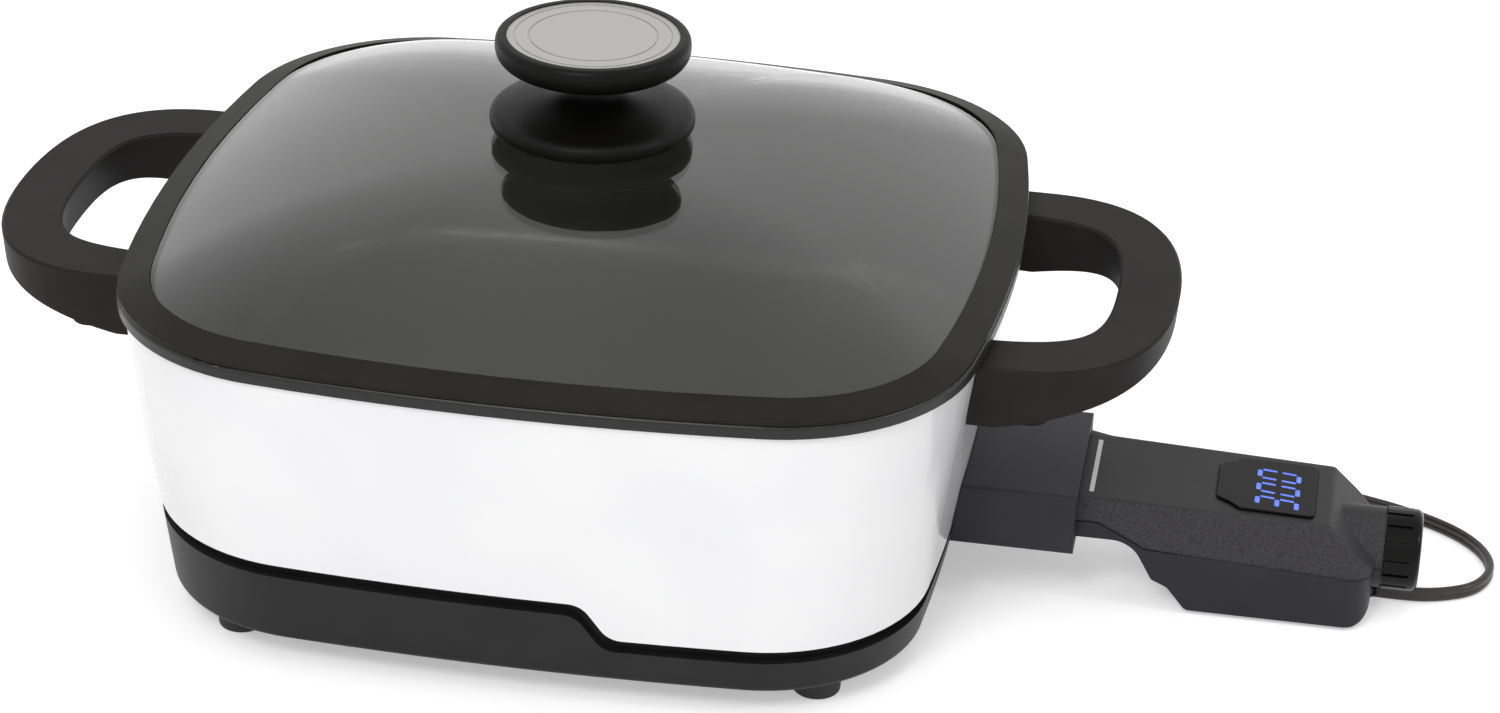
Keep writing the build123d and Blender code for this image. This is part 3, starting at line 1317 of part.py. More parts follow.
probe_tip_x = TERMINAL_FACE_X - PROBE_REACH + 2 * CLEAR_FIT
with BuildPart() as probe_rod:
    with BuildSketch(Plane.YZ.offset(probe_tip_x)):
        with Locations((0, PIN_Z)):
            Circle(PROBE_RADIUS)
    extrude(amount=socket_start_x + CARRIER_START + CARRIER_LENGTH - probe_tip_x)
    fillet(probe_rod.edges().group_by(Axis.X)[0], PROBE_RADIUS / 2)
finish(probe_rod, "probe_rod")

# ---------------------------------------------------------------- dial
dial_back_x = NECK_END_X + DIAL_GAP
dial_ring_x = dial_back_x + DIAL_GRIP_LENGTH
with BuildPart() as control_dial:
    with BuildSketch(Plane.YZ.offset(dial_back_x)):
        with Locations((0, DIAL_Z)):
            Circle(DIAL_RADIUS)
            with PolarLocations(DIAL_RADIUS, DIAL_GROOVE_COUNT):
                Rectangle(2 * DIAL_GROOVE_DEPTH, DIAL_GROOVE_WIDTH, mode=Mode.SUBTRACT)
    extrude(amount=DIAL_GRIP_LENGTH)
    with BuildSketch(Plane.YZ.offset(dial_ring_x)):
        with Locations((0, DIAL_Z)):
            Circle(DIAL_RADIUS)
    extrude(amount=DIAL_RING_LENGTH)
    fillet(control_dial.edges().group_by(Axis.X)[-1], DIAL_EDGE_RADIUS)
    with BuildSketch(Plane.YZ.offset(dial_back_x)):
        with Locations((0, DIAL_Z)):
            Circle(SHAFT_RADIUS + CLOSE_FIT)
    extrude(amount=SHAFT_SEAT, mode=Mode.SUBTRACT)
finish(control_dial, "control_dial")

shaft_start_x = encoder_face_x - ENCODER_LENGTH / 2
with BuildPart() as dial_shaft:
    with BuildSketch(Plane.YZ.offset(shaft_start_x)):
        with Locations((0, DIAL_Z)):
            Circle(SHAFT_RADIUS)
    extrude(amount=dial_back_x + SHAFT_SEAT - shaft_start_x)
finish(dial_shaft, "dial_shaft")

# ---------------------------------------------------------------- cord, coil and plug
cord_strain_relief = strain_relief()
finish(cord_strain_relief, "cord_strain_relief")


def bend_radii(route):
    """The arc at each inner point of a route, as large as the two runs beside it allow."""
    radii = []
    for before, corner, after in zip(route, route[1:], route[2:]):
        run_in = Vector(*corner) - Vector(*before)
        run_out = Vector(*after) - Vector(*corner)
        half_turn = radians(run_in.get_angle(run_out)) / 2
        radii.append(0.45 * min(run_in.length, run_out.length) / tan(half_turn))
    return radii


cord_radii = bend_radii(CORD_ROUTE)
with BuildLine() as cord_line:
    FilletPolyline(*CORD_ROUTE, radius=cord_radii)
cord_path = cord_line.wire()
with BuildPart() as power_cord:
    with BuildSketch(Plane(origin=cord_path @ 0, z_dir=cord_path % 0)):
        Circle(CORD_RADIUS)
    sweep(path=cord_path)
finish(power_cord, "power_cord")
cord_section = pi * CORD_RADIUS**2
print("cord bend radii", [round(radius, 1) for radius in cord_radii])
volume_ratio = power_cord.part.volume / (cord_section * cord_path.length)
print("cord volume over section times length", round(volume_ratio, 6))
print("cord tube length", cord_path.length)

with BuildPart() as cord_coil:
    with BuildSketch(Plane.XZ.offset(-COIL_CENTRE[1])):
        with Locations((COIL_CENTRE[0] + COIL_MEAN_RADIUS, COIL_BUNDLE)):
            Circle(COIL_BUNDLE)
    revolve(axis=Axis(COIL_CENTRE, (0, 0, 1)))
finish(cord_coil, "cord_coil")

nose_x, plug_y = PLUG_NOSE_START
plug_z = PLUG_HEIGHT / 2
plug_face_x = nose_x - PLUG_NOSE_LENGTH - PLUG_LENGTH
with BuildPart() as plug_body:
    with BuildSketch(Plane.YZ.offset(plug_face_x)):
        with Locations((plug_y, plug_z)):
            RectangleRounded(PLUG_WIDTH, PLUG_HEIGHT, PLUG_EDGE_RADIUS)
    extrude(amount=PLUG_LENGTH)
    fillet(plug_body.faces().sort_by(Axis.X)[-1].edges(), PLUG_EDGE_RADIUS / 2)
    with BuildSketch(Plane.YZ.offset(nose_x - PLUG_NOSE_LENGTH)):
        with Locations((plug_y, plug_z)):
            Circle(PLUG_NOSE_RADIUS)
    extrude(amount=PLUG_NOSE_LENGTH, taper=PLUG_NOSE_TAPER)
    with BuildSketch(Plane.YZ.offset(plug_face_x)):
        with Locations((plug_y + BLADE_SPACING / 2, plug_z), (plug_y - BLADE_SPACING / 2, plug_z)):
            Rectangle(BLADE_THICKNESS, BLADE_WIDTH)
    extrude(amount=BLADE_SUNK, mode=Mode.SUBTRACT)
finish(plug_body, "plug_body")

with BuildPart() as plug_blades:
    with BuildSketch(Plane.YZ.offset(plug_face_x + BLADE_SUNK)):
        with Locations((plug_y + BLADE_SPACING / 2, plug_z), (plug_y - BLADE_SPACING / 2, plug_z)):
            Rectangle(BLADE_THICKNESS, BLADE_WIDTH)
    extrude(amount=-BLADE_SUNK - BLADE_LENGTH)
finish(plug_blades, "plug_blades")
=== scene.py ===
"""Electric skillet: finishes, lit digits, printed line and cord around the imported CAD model."""

from math import cos, pi, sin

import bpy
import numpy as np
from mathutils import Matrix, Vector


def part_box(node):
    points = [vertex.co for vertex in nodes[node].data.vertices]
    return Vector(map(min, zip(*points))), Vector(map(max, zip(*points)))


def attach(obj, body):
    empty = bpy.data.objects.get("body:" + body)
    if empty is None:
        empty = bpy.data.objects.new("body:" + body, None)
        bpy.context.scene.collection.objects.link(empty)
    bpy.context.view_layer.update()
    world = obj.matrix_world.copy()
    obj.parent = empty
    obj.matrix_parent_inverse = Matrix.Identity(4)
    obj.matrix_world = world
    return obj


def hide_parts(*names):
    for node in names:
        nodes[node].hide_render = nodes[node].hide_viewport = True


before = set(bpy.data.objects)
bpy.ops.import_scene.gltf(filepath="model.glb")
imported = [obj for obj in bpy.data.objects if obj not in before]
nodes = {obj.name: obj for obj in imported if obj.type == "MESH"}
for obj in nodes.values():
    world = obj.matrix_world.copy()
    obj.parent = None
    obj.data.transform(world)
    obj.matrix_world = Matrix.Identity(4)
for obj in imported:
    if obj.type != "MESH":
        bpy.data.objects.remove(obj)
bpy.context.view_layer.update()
MM = 0.001


# ------------------------------------------------------------------ camera
# The picture's size in pixels, the lens in pixels, and where the optical axis meets the picture.
PICTURE_WIDTH = 1500
PICTURE_HEIGHT = 713
LENS_PIXELS = 3891.83
AXIS_PIXEL = (807.53, 361.42)
SENSOR = 36.0
CAMERA_PLACE = (0.245196, -1.195538, 0.69839)
CAMERA_YAW = -0.13928
CAMERA_PITCH = -0.48010
CAMERA_ROLL = 0.04029
NEAREST, FARTHEST = 0.05, 60


def add_camera():
    """The camera: yaw turns it from +Y towards +X, pitch lifts it, and roll turns it about its
    axis, all in radians."""
    forward = Vector(
        (
            sin(CAMERA_YAW) * cos(CAMERA_PITCH),
            cos(CAMERA_YAW) * cos(CAMERA_PITCH),
            sin(CAMERA_PITCH),
        )
    )
    level = Vector((cos(CAMERA_YAW), -sin(CAMERA_YAW), 0))
    upright = level.cross(forward)
    right = cos(CAMERA_ROLL) * level + sin(CAMERA_ROLL) * upright
    up = cos(CAMERA_ROLL) * upright - sin(CAMERA_ROLL) * level
    data = bpy.data.cameras.new("camera")
    data.sensor_fit = "HORIZONTAL"
    data.sensor_width = SENSOR
    data.lens = LENS_PIXELS / PICTURE_WIDTH * SENSOR
    data.shift_x = (PICTURE_WIDTH / 2 - AXIS_PIXEL[0]) / PICTURE_WIDTH
    data.shift_y = (AXIS_PIXEL[1] - PICTURE_HEIGHT / 2) / PICTURE_WIDTH
    data.clip_start = NEAREST
    data.clip_end = FARTHEST
    camera = bpy.data.objects.new("camera", data)
    turn = Matrix((right, up, -forward)).transposed().to_4x4()
    camera.matrix_world = Matrix.Translation(CAMERA_PLACE) @ turn
    bpy.context.scene.collection.objects.link(camera)
    bpy.context.scene.camera = camera


# ------------------------------------------------------------------ material helpers
# Most of a noise lies between these two values.
LOW, HIGH = 0.3, 0.7
# How far handling moves the roughness either way.
SMEAR, WEAR, MOTTLING = 0.04, 0.06, 0.05


def colour(code):
    """An sRGB hex colour as linear red, green, blue and alpha."""
    parts = np.array([int(code[i : i + 2], 16) for i in (1, 3, 5)]) / 255
    linear = np.where(parts <= 0.04045, parts / 12.92, ((parts + 0.055) / 1.055) ** 2.4)
    return (*linear, 1.0)


def add(tree, kind, inputs=(), stops=(), **settings):
    """One node, and its outputs in return. Its inputs, by name or in order, take values or other
    nodes' outputs. A ramp's stops are pairs of a position and a colour."""
    node = tree.nodes.new("ShaderNode" + kind)
    for name, value in settings.items():
        setattr(node, name, value)
    for index, (position, code) in enumerate(stops):
        node.color_ramp.elements[index].position = position
        node.color_ramp.elements[index].color = colour(code)
    for name, value in inputs.items() if isinstance(inputs, dict) else enumerate(inputs):
        if isinstance(value, bpy.types.NodeSocket):
            tree.links.new(value, node.inputs[name])
        else:
            node.inputs[name].default_value = value
    return node.outputs


def start_material(name, *grains):
    """An empty material, its node tree, the object's own coordinates, and one noise for each
    grain, which is the distance between its bumps in metres and its level of detail."""
    material = bpy.data.materials.new(name)
    material.use_nodes = True
    tree = material.node_tree
    tree.nodes.clear()
    place = add(tree, "TexCoord")["Object"]
    noises = [
        add(
            tree,
            "TexNoise",
            {"Vector": place, "Scale": 1 / spacing, "Detail": detail, "Roughness": 0.6},
        )["Fac"]
        for spacing, detail in grains
    ]
    return material, tree, place, *noises


def end_material(material, tree, surface):
    """The finished surface goes to the material's output."""
    add(tree, "OutputMaterial", {"Surface": surface})
    return material


# ------------------------------------------------------------------ the pan's finishes
# Where they meet, in metres: the pan's half width and depth, the lip's underside, the ends of the
# seam's step and its height at each (a little under the seam, where the spray ends), and the part
# of the wall inside the probe guard.
PAN_HALF = (0.150, 0.144)
LIP_UNDERSIDE = 0.1134
SEAM_STEP = (0.0245, 0.0335)
SEAM_HEIGHTS = (0.0392, 0.0257)
GUARD_TOP = 0.0435
GUARD_HALF_WIDTH = 0.0305
# A face on the outside has more than this as its normal times its place, and only the outer wall
# has more than this as (x / half width)^4 + (y / half depth)^4.
FACES_OUT = 0.005
FAR_OUT = 0.47
# The darker share of the coating's tone on faces that look outward, on the lip and underneath;
# inside, the full flecked tone is lightened as painted light.
OUTWARD_SHARE_OF_LIT_TONE = 0.12


def vitreous_enamel(tree, peel, tone):
    """White gloss enamel, sprayed and fired: a hard clear shine with a faint orange peel."""
    return add(
        tree,
        "BsdfPrincipled",
        {
            "Base Color": add(
                tree, "ValToRGB", {"Fac": tone}, stops=((0.35, "#f1f1f3"), (0.65, "#f7f7f8"))
            )["Color"],
            "Roughness": add(tree, "MapRange", (peel, LOW, HIGH, 0.17, 0.22))[0],
            "IOR": 1.5,
            "Coat Weight": 0.3,
            "Coat Roughness": 0.08,
            "Normal": add(
                tree, "Bump", {"Height": peel, "Distance": 0.01 * MM, "Strength": 0.1}
            )[0],
        },
    )[0]


def nonstick_coating(tree, place, mist, outward):
    """Sprayed PTFE over cast aluminium: charcoal, satin, with pale flecks of filler 2.2 mm apart,
    coarser than the real ones so that they show. Its flecked tone is lightened as painted light,
    standing in for the light that reaches the pan's inside through the lid; faces that look
    outward, on the lip and underneath, keep only a darker share of it."""
    fleck = add(tree, "TexVoronoi", {"Vector": place, "Scale": 1 / (2.2 * MM)})["Distance"]
    # Painted light: this tone is lighter than the coating's own, for the light inside the pan under
    # the lid.
    tone = add(
        tree, "ValToRGB", {"Fac": fleck}, stops=((0.05, "#73716e"), (0.12, "#524f4d"))
    )["Color"]
    inside_painted_light = add(tree, "MapRange", (outward, 0, FACES_OUT, 1, OUTWARD_SHARE_OF_LIT_TONE))[0]
    return add(
        tree,
        "BsdfPrincipled",
        {
            "Base Color": add(
                tree, "VectorMath", {0: tone, "Scale": inside_painted_light}, operation="SCALE"
            )[0],
            "Roughness": add(tree, "MapRange", (mist, LOW, HIGH, 0.30, 0.42))[0],
            "IOR": 1.42,
            "Normal": add(
                tree, "Bump", {"Height": mist, "Distance": 0.05 * MM, "Strength": 0.4}
            )[0],
        },
    )[0]


def coated_casting():
    """The pan, cast aluminium: enamelled on its outer wall from the stepped seam up to the lip,
    and sprayed with the dark coating everywhere else."""
    material, tree, place, peel, tone, mist = start_material(
        "coated_casting", (3.0 * MM, 1.0), (60 * MM, 1.0), (1.2 * MM, 2.0)
    )
    at = add(tree, "SeparateXYZ", (place,))
    facing = add(tree, "NewGeometry")["Normal"]
    across = add(tree, "VectorMath", (place, (1, 1, 0)), operation="MULTIPLY")[0]
    outward = add(tree, "VectorMath", (facing, across), operation="DOT_PRODUCT")["Value"]
    seam = add(tree, "MapRange", (at["X"], *SEAM_STEP, *SEAM_HEIGHTS))[0]
    powers = []
    for axis, half in zip("XY", PAN_HALF):
        share = add(tree, "Math", (at[axis], half), operation="DIVIDE")[0]
        powers.append(add(tree, "Math", (share, 4), operation="POWER")[0])
    far = add(tree, "Math", powers, operation="ADD")[0]
    aside = add(tree, "Math", (at["Y"],), operation="ABSOLUTE")[0]
    in_guard = add(tree, "Math", (at["X"], 0), operation="GREATER_THAN")[0]
    for value, limit in ((at["Z"], GUARD_TOP), (aside, GUARD_HALF_WIDTH)):
        below = add(tree, "Math", (value, limit), operation="LESS_THAN")[0]
        in_guard = add(tree, "Math", (in_guard, below), operation="MULTIPLY")[0]
    white = add(tree, "Math", (1, in_guard), operation="SUBTRACT")[0]
    for value, limit in (
        (outward, FACES_OUT),
        (at["Z"], seam),
        (LIP_UNDERSIDE, at["Z"]),
        (far, FAR_OUT),
    ):
        beyond = add(tree, "Math", (value, limit), operation="GREATER_THAN")[0]
        white = add(tree, "Math", (white, beyond), operation="MULTIPLY")[0]
    coating = nonstick_coating(tree, place, mist, outward)
    enamel = vitreous_enamel(tree, peel, tone)
    return end_material(material, tree, add(tree, "MixShader", (white, coating, enamel))[0])


# ------------------------------------------------------------------ moulded plastics
# The line where the heat control's two mouldings meet: level, then down, then nearly level.
PARTING_X = (0.1845, 0.2015, 0.2862)
PARTING_Z = (0.032, 0.0236, 0.0196)
# The groove's painted shade is darkest this far from the line and ends at the second distance. Past
# the step the painted shade gets fainter over the fade's length.
GROOVE = (0.16 * MM, 0.34 * MM)
GROOVE_FADE = 20 * MM
FAINT_GROOVE_SHADE = 0.65
GROOVE_ROUGHNESS = 0.9
# The upward share of a normal between which a sloping face turns into a level one, and the
# strength of the relief on each.
LEVEL = (0.93, 0.995)
RELIEF = (0.9, 0.2)
# The noise's value where the grain's painted glints start and, above it, where they are lightest,
# and where tops glint.
GLINT_PAINT_START, GLINT_PAINT_SPAN = 0.36, 0.26
GLINTS = (0.62, 0.72)


def painted_groove_shade(tree, place):
    """1, and 0 in the thin groove where the heat control's two mouldings meet, a painted shade for
    the gap: the distance from a height that falls from one corner of the line to the next."""
    at = add(tree, "SeparateXYZ", (place,))
    middle = PARTING_X[1]
    fall = add(tree, "MapRange", (at["X"], PARTING_X[0], middle, PARTING_Z[0], PARTING_Z[1]))[0]
    drop = PARTING_Z[2] - PARTING_Z[1]
    rest = add(tree, "MapRange", (at["X"], middle, PARTING_X[2], 0, drop))[0]
    height = add(tree, "Math", (fall, rest), operation="ADD")[0]
    above = add(tree, "Math", (at["Z"], height), operation="SUBTRACT")[0]
    off = add(tree, "Math", (above,), operation="ABSOLUTE")[0]
    darkest_groove_shade = add(tree, "MapRange", (at["X"], middle, middle + GROOVE_FADE, 0, FAINT_GROOVE_SHADE))[0]
    return add(tree, "MapRange", (off, *GROOVE, darkest_groove_shade, 1))[0]


def moulded_plastic(
    name,
    dark,
    light,
    roughness,
    specular,
    spacing=0.35 * MM,
    depth=0.02 * MM,
    sparkle=0.0,
    parted=False,
    edge=0.0,
):
    """Injection-moulded black plastic. The mould's spark-eroded grain has bumps spacing apart,
    coarser than the real ones so that they show. Where it sparkles, their tops are glossier and are
    painted lighter as a painted glint, more on sloping faces than on level ones; a level face is
    smoother. Corners are shaded as if they turned over the edge's radius in metres."""
    material, tree, place, fine, broad = start_material(name, (spacing, 4.0), (25 * MM, 2.0))
    shine = add(tree, "MapRange", (fine, *GLINTS, roughness, roughness - sparkle))[0]
    facing = add(tree, "SeparateXYZ", (add(tree, "NewGeometry")["Normal"],))
    sides = add(tree, "MapRange", (facing["Z"], *LEVEL, *RELIEF))[0]
    if sparkle:
        # Painted glint: the grain's tops are painted lighter, more on sloping faces than on level
        # ones.
        over = add(tree, "Math", (fine, GLINT_PAINT_START), operation="SUBTRACT")[0]
        painted_glint = add(tree, "Math", (over, sides), operation="MULTIPLY")[0]
        tone = add(tree, "ValToRGB", {"Fac": painted_glint}, stops=((0.0, dark), (GLINT_PAINT_SPAN, light)))["Color"]
    else:
        tone = add(tree, "ValToRGB", {"Fac": broad}, stops=((LOW, dark), (HIGH, light)))["Color"]
    # Painted shade: the colour is darkened along the groove where the mouldings meet, and rougher
    # there.
    if parted:
        groove = painted_groove_shade(tree, place)
        tone = add(tree, "VectorMath", {0: tone, "Scale": groove}, operation="SCALE")[0]
        shine = add(tree, "MapRange", (groove, 0, 1, GROOVE_ROUGHNESS, shine))[0]
    relief = {"Height": fine, "Distance": depth, "Strength": sides}
    if edge:
        relief["Normal"] = add(tree, "Bevel", {"Radius": edge}, samples=4)["Normal"]
    surface = add(
        tree,
        "BsdfPrincipled",
        {
            "Base Color": tone,
            "Roughness": shine,
            "IOR": 1.5,
            "Specular IOR Level": specular,
            "Normal": add(tree, "Bump", relief)[0],
        },
    )[0]
    return end_material(material, tree, surface)


# ------------------------------------------------------------------ other finishes
def silicone():
    """Moulded silicone rubber: soft satin, slightly warm black, with a film of dust."""
    material, tree, _, fine, broad = start_material(
        "silicone_rim", (0.5 * MM, 3.0), (18 * MM, 2.0)
    )
    surface = add(
        tree,
        "BsdfPrincipled",
        {
            "Base Color": add(
                tree, "ValToRGB", {"Fac": broad}, stops=((LOW, "#1e1d1b"), (HIGH, "#242320"))
            )["Color"],
            "Roughness": add(tree, "MapRange", (fine, LOW, HIGH, 0.40, 0.50))[0],
            "IOR": 1.41,
            "Specular IOR Level": 0.13,
            "Normal": add(
                tree, "Bump", {"Height": fine, "Distance": 0.02 * MM, "Strength": 0.5}
            )[0],
        },
    )[0]
    return end_material(material, tree, surface)


def tempered_glass():
    """Tempered heat-resisting glass, pressed in a mould: clear, faintly grey through its
    thickness. Light that it lets in goes straight through."""
    material, tree, _, wave = start_material("tempered_glass", (35 * MM, 1.0))
    surface = add(
        tree,
        "BsdfPrincipled",
        {
            "Base Color": colour("#c4c6c4"),
            "Roughness": 0.0,
            "IOR": 1.46,
            "Transmission Weight": 1.0,
            "Normal": add(tree, "Bump", {"Height": wave, "Distance": 0.1 * MM, "Strength": 0.1})[0],
        },
    )[0]
    seen = add(tree, "LightPath")
    lets_by = add(
        tree, "Math", (seen["Is Shadow Ray"], seen["Is Diffuse Ray"]), operation="MAXIMUM"
    )[0]
    clear = add(tree, "BsdfTransparent", {"Color": colour("#e2e4e2")})[0]
    return end_material(material, tree, add(tree, "MixShader", (lets_by, surface, clear))[0])


def phenolic(name, roughness):
    """Compression-moulded phenolic: deep black, with a shine that handling has smeared."""
    material, tree, _, smear = start_material(name, (14 * MM, 3.0))
    shine = add(tree, "MapRange", (smear, LOW, HIGH, roughness - SMEAR, roughness + SMEAR))[0]
    surface = add(
        tree,
        "BsdfPrincipled",
        {
            "Base Color": colour("#0d0c0b"),
            "Roughness": shine,
            "IOR": 1.5,
            "Specular IOR Level": 0.13,
        },
    )[0]
    return end_material(material, tree, surface)


def spun_metal():
    """Brushed aluminium disc, turned on a lathe: fine rings 0.25 mm apart round its middle."""
    material, tree, place = start_material("turned_aluminium")
    flat = add(tree, "VectorMath", (place, (1, 1, 0)), operation="MULTIPLY")[0]
    radius = add(tree, "VectorMath", (flat,), operation="LENGTH")["Value"]
    ring = add(
        tree,
        "TexNoise",
        {"W": radius, "Scale": 1 / (0.25 * MM), "Detail": 3.0},
        noise_dimensions="1D",
    )["Fac"]
    surface = add(
        tree,
        "BsdfPrincipled",
        {
            "Base Color": add(
                tree, "ValToRGB", {"Fac": ring}, stops=((LOW, "#acaba7"), (HIGH, "#b9b8b4"))
            )["Color"],
            "Metallic": 0.35,
            "Roughness": add(tree, "MapRange", (ring, LOW, HIGH, 0.30, 0.42))[0],
            "Normal": add(
                tree, "Bump", {"Height": ring, "Distance": 0.01 * MM, "Strength": 0.4}
            )[0],
        },
    )[0]
    return end_material(material, tree, surface)


def metal(name, dark, light, roughness, spacing):
    """A plain drawn or pressed metal, its colour and shine varied by handling."""
    material, tree, _, wear = start_material(name, (spacing, 3.0))
    tone = add(tree, "ValToRGB", {"Fac": wear}, stops=((LOW, dark), (HIGH, light)))["Color"]
    shine = add(tree, "MapRange", (wear, LOW, HIGH, roughness - WEAR, roughness + WEAR))[0]
    surface = add(
        tree, "BsdfPrincipled", {"Base Color": tone, "Metallic": 1.0, "Roughness": shine}
    )[0]
    return end_material(material, tree, surface)


def smooth_polymer(name, dark, light, roughness, spacing, depth):
    """Rubber, PVC, ceramic or laminate: a smooth skin with slight mottling."""
    material, tree, _, mottle = start_material(name, (spacing, 3.0))
    tone = add(tree, "ValToRGB", {"Fac": mottle}, stops=((LOW, dark), (HIGH, light)))["Color"]
    shine = add(
        tree, "MapRange", (mottle, LOW, HIGH, roughness - MOTTLING, roughness + MOTTLING)
    )[0]
    relief = add(tree, "Bump", {"Height": mottle, "Distance": depth, "Strength": 0.5})[0]
    surface = add(
        tree, "BsdfPrincipled", {"Base Color": tone, "Roughness": shine, "Normal": relief}
    )[0]
    return end_material(material, tree, surface)


def gloss_acrylic():
    """The display's tinted acrylic window: piano black with faint wiping marks."""
    material, tree, _, wipe = start_material("tinted_acrylic", (8 * MM, 3.0))
    surface = add(
        tree,
        "BsdfPrincipled",
        {
            "Base Color": colour("#0b0a0a"),
            "Roughness": add(tree, "MapRange", (wipe, LOW, HIGH, 0.06, 0.13))[0],
            "IOR": 1.49,
            "Specular IOR Level": 0.13,
        },
    )[0]
    return end_material(material, tree, surface)


def lit_segments():
    """Blue light-emitting bars, a little uneven in their light."""
    material, tree, _, mottle = start_material("blue_segments", (1.5 * MM, 3.0))
    surface = add(
        tree,
        "BsdfPrincipled",
        {
            "Base Color": colour("#1c2a80"),
            "Roughness": 0.3,
            "Emission Color": add(
                tree, "ValToRGB", {"Fac": mottle}, stops=((LOW, "#4468f2"), (HIGH, "#6d90ff"))
            )["Color"],
            "Emission Strength": 1.0,
        },
    )[0]
    return end_material(material, tree, surface)


def printed_ink():
    """Pad-printed white ink, thin and matt, a little uneven."""
    material, tree, _, mottle = start_material("white_ink", (0.8 * MM, 3.0))
    tone = add(
        tree, "ValToRGB", {"Fac": mottle}, stops=((LOW, "#c9cacb"), (HIGH, "#dadbdc"))
    )["Color"]
    surface = add(tree, "BsdfPrincipled", {"Base Color": tone, "Roughness": 0.6})[0]
    return end_material(material, tree, surface)


def dress(material, *names):
    """Gives CAD nodes a material."""
    for name in names:
        for piece_slot in nodes[name].material_slots:
            piece_slot.material = material


# ------------------------------------------------------------------ mesh helper
def new_mesh(name, points, faces, material, body, smooth=True):
    """A piece made of points and faces, riding on a body."""
    mesh = bpy.data.meshes.new(name)
    mesh.from_pydata(points, [], faces)
    mesh.materials.append(material)
    if smooth:
        mesh.shade_smooth()
    else:
        mesh.shade_flat()
    piece = bpy.data.objects.new(name, mesh)
    bpy.context.scene.collection.objects.link(piece)
    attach(piece, body)
    return piece


# ------------------------------------------------------------------ display and printing
# Each bar's ends as shares of the digit's half width and half height.
SEGMENTS = {
    "a": (-1, 1, 1, 1),
    "b": (1, 1, 1, 0),
    "c": (1, 0, 1, -1),
    "d": (-1, -1, 1, -1),
    "e": (-1, 0, -1, -1),
    "f": (-1, 1, -1, 0),
    "g": (-1, 0, 1, 0),
}
DIGIT_SEGMENTS = {"0": "abcdef", "3": "abcdg"}
DIGIT_HALF_WIDTH = 2.9 * MM
DIGIT_HALF_HEIGHT = 6.8 * MM
DIGIT_PITCH = 9.65 * MM
DIGIT_SLANT = 0.12
# the digits' middle, from the window's end by the dial and from the part's middle plane
DIGITS_INSET = 13.1 * MM
DIGITS_ASIDE = -2.3 * MM
BAR_HALF_WIDTH = 0.58 * MM
CAP_HALF_WIDTH = 0.82 * MM
# how far the upright bars and the level caps stop short of the digit's corners
BAR_GAP = 1.0 * MM
CAP_GAP = 0.75 * MM
POINT = 0.35 * MM
# how far the housing's top and the window fall for each metre towards the dial
TOP_FALL = 2.3 / 86.8
# how far the digits and the line stand proud of it, and reach into it
PROUD = 0.04 * MM
DIGITS_SUNK = 0.3 * MM
LINE_SUNK = 0.2 * MM
# the housing's top edge by the guard, as x and z, and the printed line's ends
TOP_START = (177.0 * MM, 41.0 * MM)
LINE_X = (180.3 * MM, 181.9 * MM)
LINE_HALF_LENGTH = 18.9 * MM


def add_marks(name, x, y, start, sunk, material):
    """Flat marks on the housing's sloping top. Each row of x and y is an outline, anticlockwise
    from above. It is carried up from below the top, whose height is the start's less the fall
    times the distance from the start."""
    top = start[1] - TOP_FALL * (x - start[0])
    rings = [np.stack([x, y, top + lift], axis=-1) for lift in (-sunk, PROUD)]
    points = np.stack(rings, axis=1)
    marks, _, corners, _ = points.shape
    first = 2 * corners * np.arange(marks)
    corner = np.arange(corners)
    after = np.roll(corner, -1)
    sides = np.stack([corner, after, corners + after, corners + corner], axis=-1)
    tops = first[:, None] + corners + corner
    sides = (first[:, None, None] + sides).reshape(-1, 4)
    faces = tops.tolist() + sides.tolist()
    new_mesh(name, points.reshape(-1, 3), faces, material, "control", False)


def add_digits(text, material):
    """Seven-segment digits on the window. They read towards +Y, and their tops point to -X. A
    bar is a hexagon: two points in line with its ends, and two shoulders beside each."""
    low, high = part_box("display_window")
    bars = [(place, name) for place, digit in enumerate(text) for name in DIGIT_SEGMENTS[digit]]
    ends = np.array([SEGMENTS[name] for _, name in bars]).reshape(-1, 2, 2)
    start, end = np.moveaxis(ends * (DIGIT_HALF_WIDTH, DIGIT_HALF_HEIGHT), 1, 0)
    along = (end - start) / np.linalg.norm(end - start, axis=1, keepdims=True)
    level = np.abs(along[:, :1]) > np.abs(along[:, 1:])
    half_width = np.where(level, CAP_HALF_WIDTH, BAR_HALF_WIDTH)
    gap = np.where(level, CAP_GAP, BAR_GAP)
    aside = np.stack([-along[:, 1], along[:, 0]], axis=1) * half_width
    shoulder_1 = start + along * (gap + POINT / 2)
    shoulder_2 = end - along * (gap + POINT / 2)
    outline = np.stack(
        [
            start + along * (gap - POINT / 2),
            shoulder_1 - aside,
            shoulder_2 - aside,
            end - along * (gap - POINT / 2),
            shoulder_2 + aside,
            shoulder_1 + aside,
        ],
        axis=1,
    )
    across, up = np.moveaxis(outline, 2, 0)
    place = np.array([place for place, _ in bars])[:, None] - (len(text) - 1) / 2
    x = high.x - DIGITS_INSET - up
    y = place * DIGIT_PITCH + DIGITS_ASIDE + across + DIGIT_SLANT * up
    add_marks("display_digits", x, y, (low.x, high.z), DIGITS_SUNK, material)


def add_insertion_line(material):
    """The printed line across the heat control's top, up to which it goes into the guard: a
    rectangle."""
    near, far = LINE_X
    x = np.array([[near, far, far, near]])
    y = np.array([[-1, -1, 1, 1]]) * LINE_HALF_LENGTH
    add_marks("insertion_line", x, y, TOP_START, LINE_SUNK, material)


# ------------------------------------------------------------------ cord
CORD_HALF_WIDTH = 2.6 * MM
LOBE_RADIUS = 1.45 * MM
# The groove between the lobes: its half thickness as a share of a lobe's, and its half height.
GROOVE_SHARE = 0.62
GROOVE_HALF_HEIGHT = 0.25 * MM
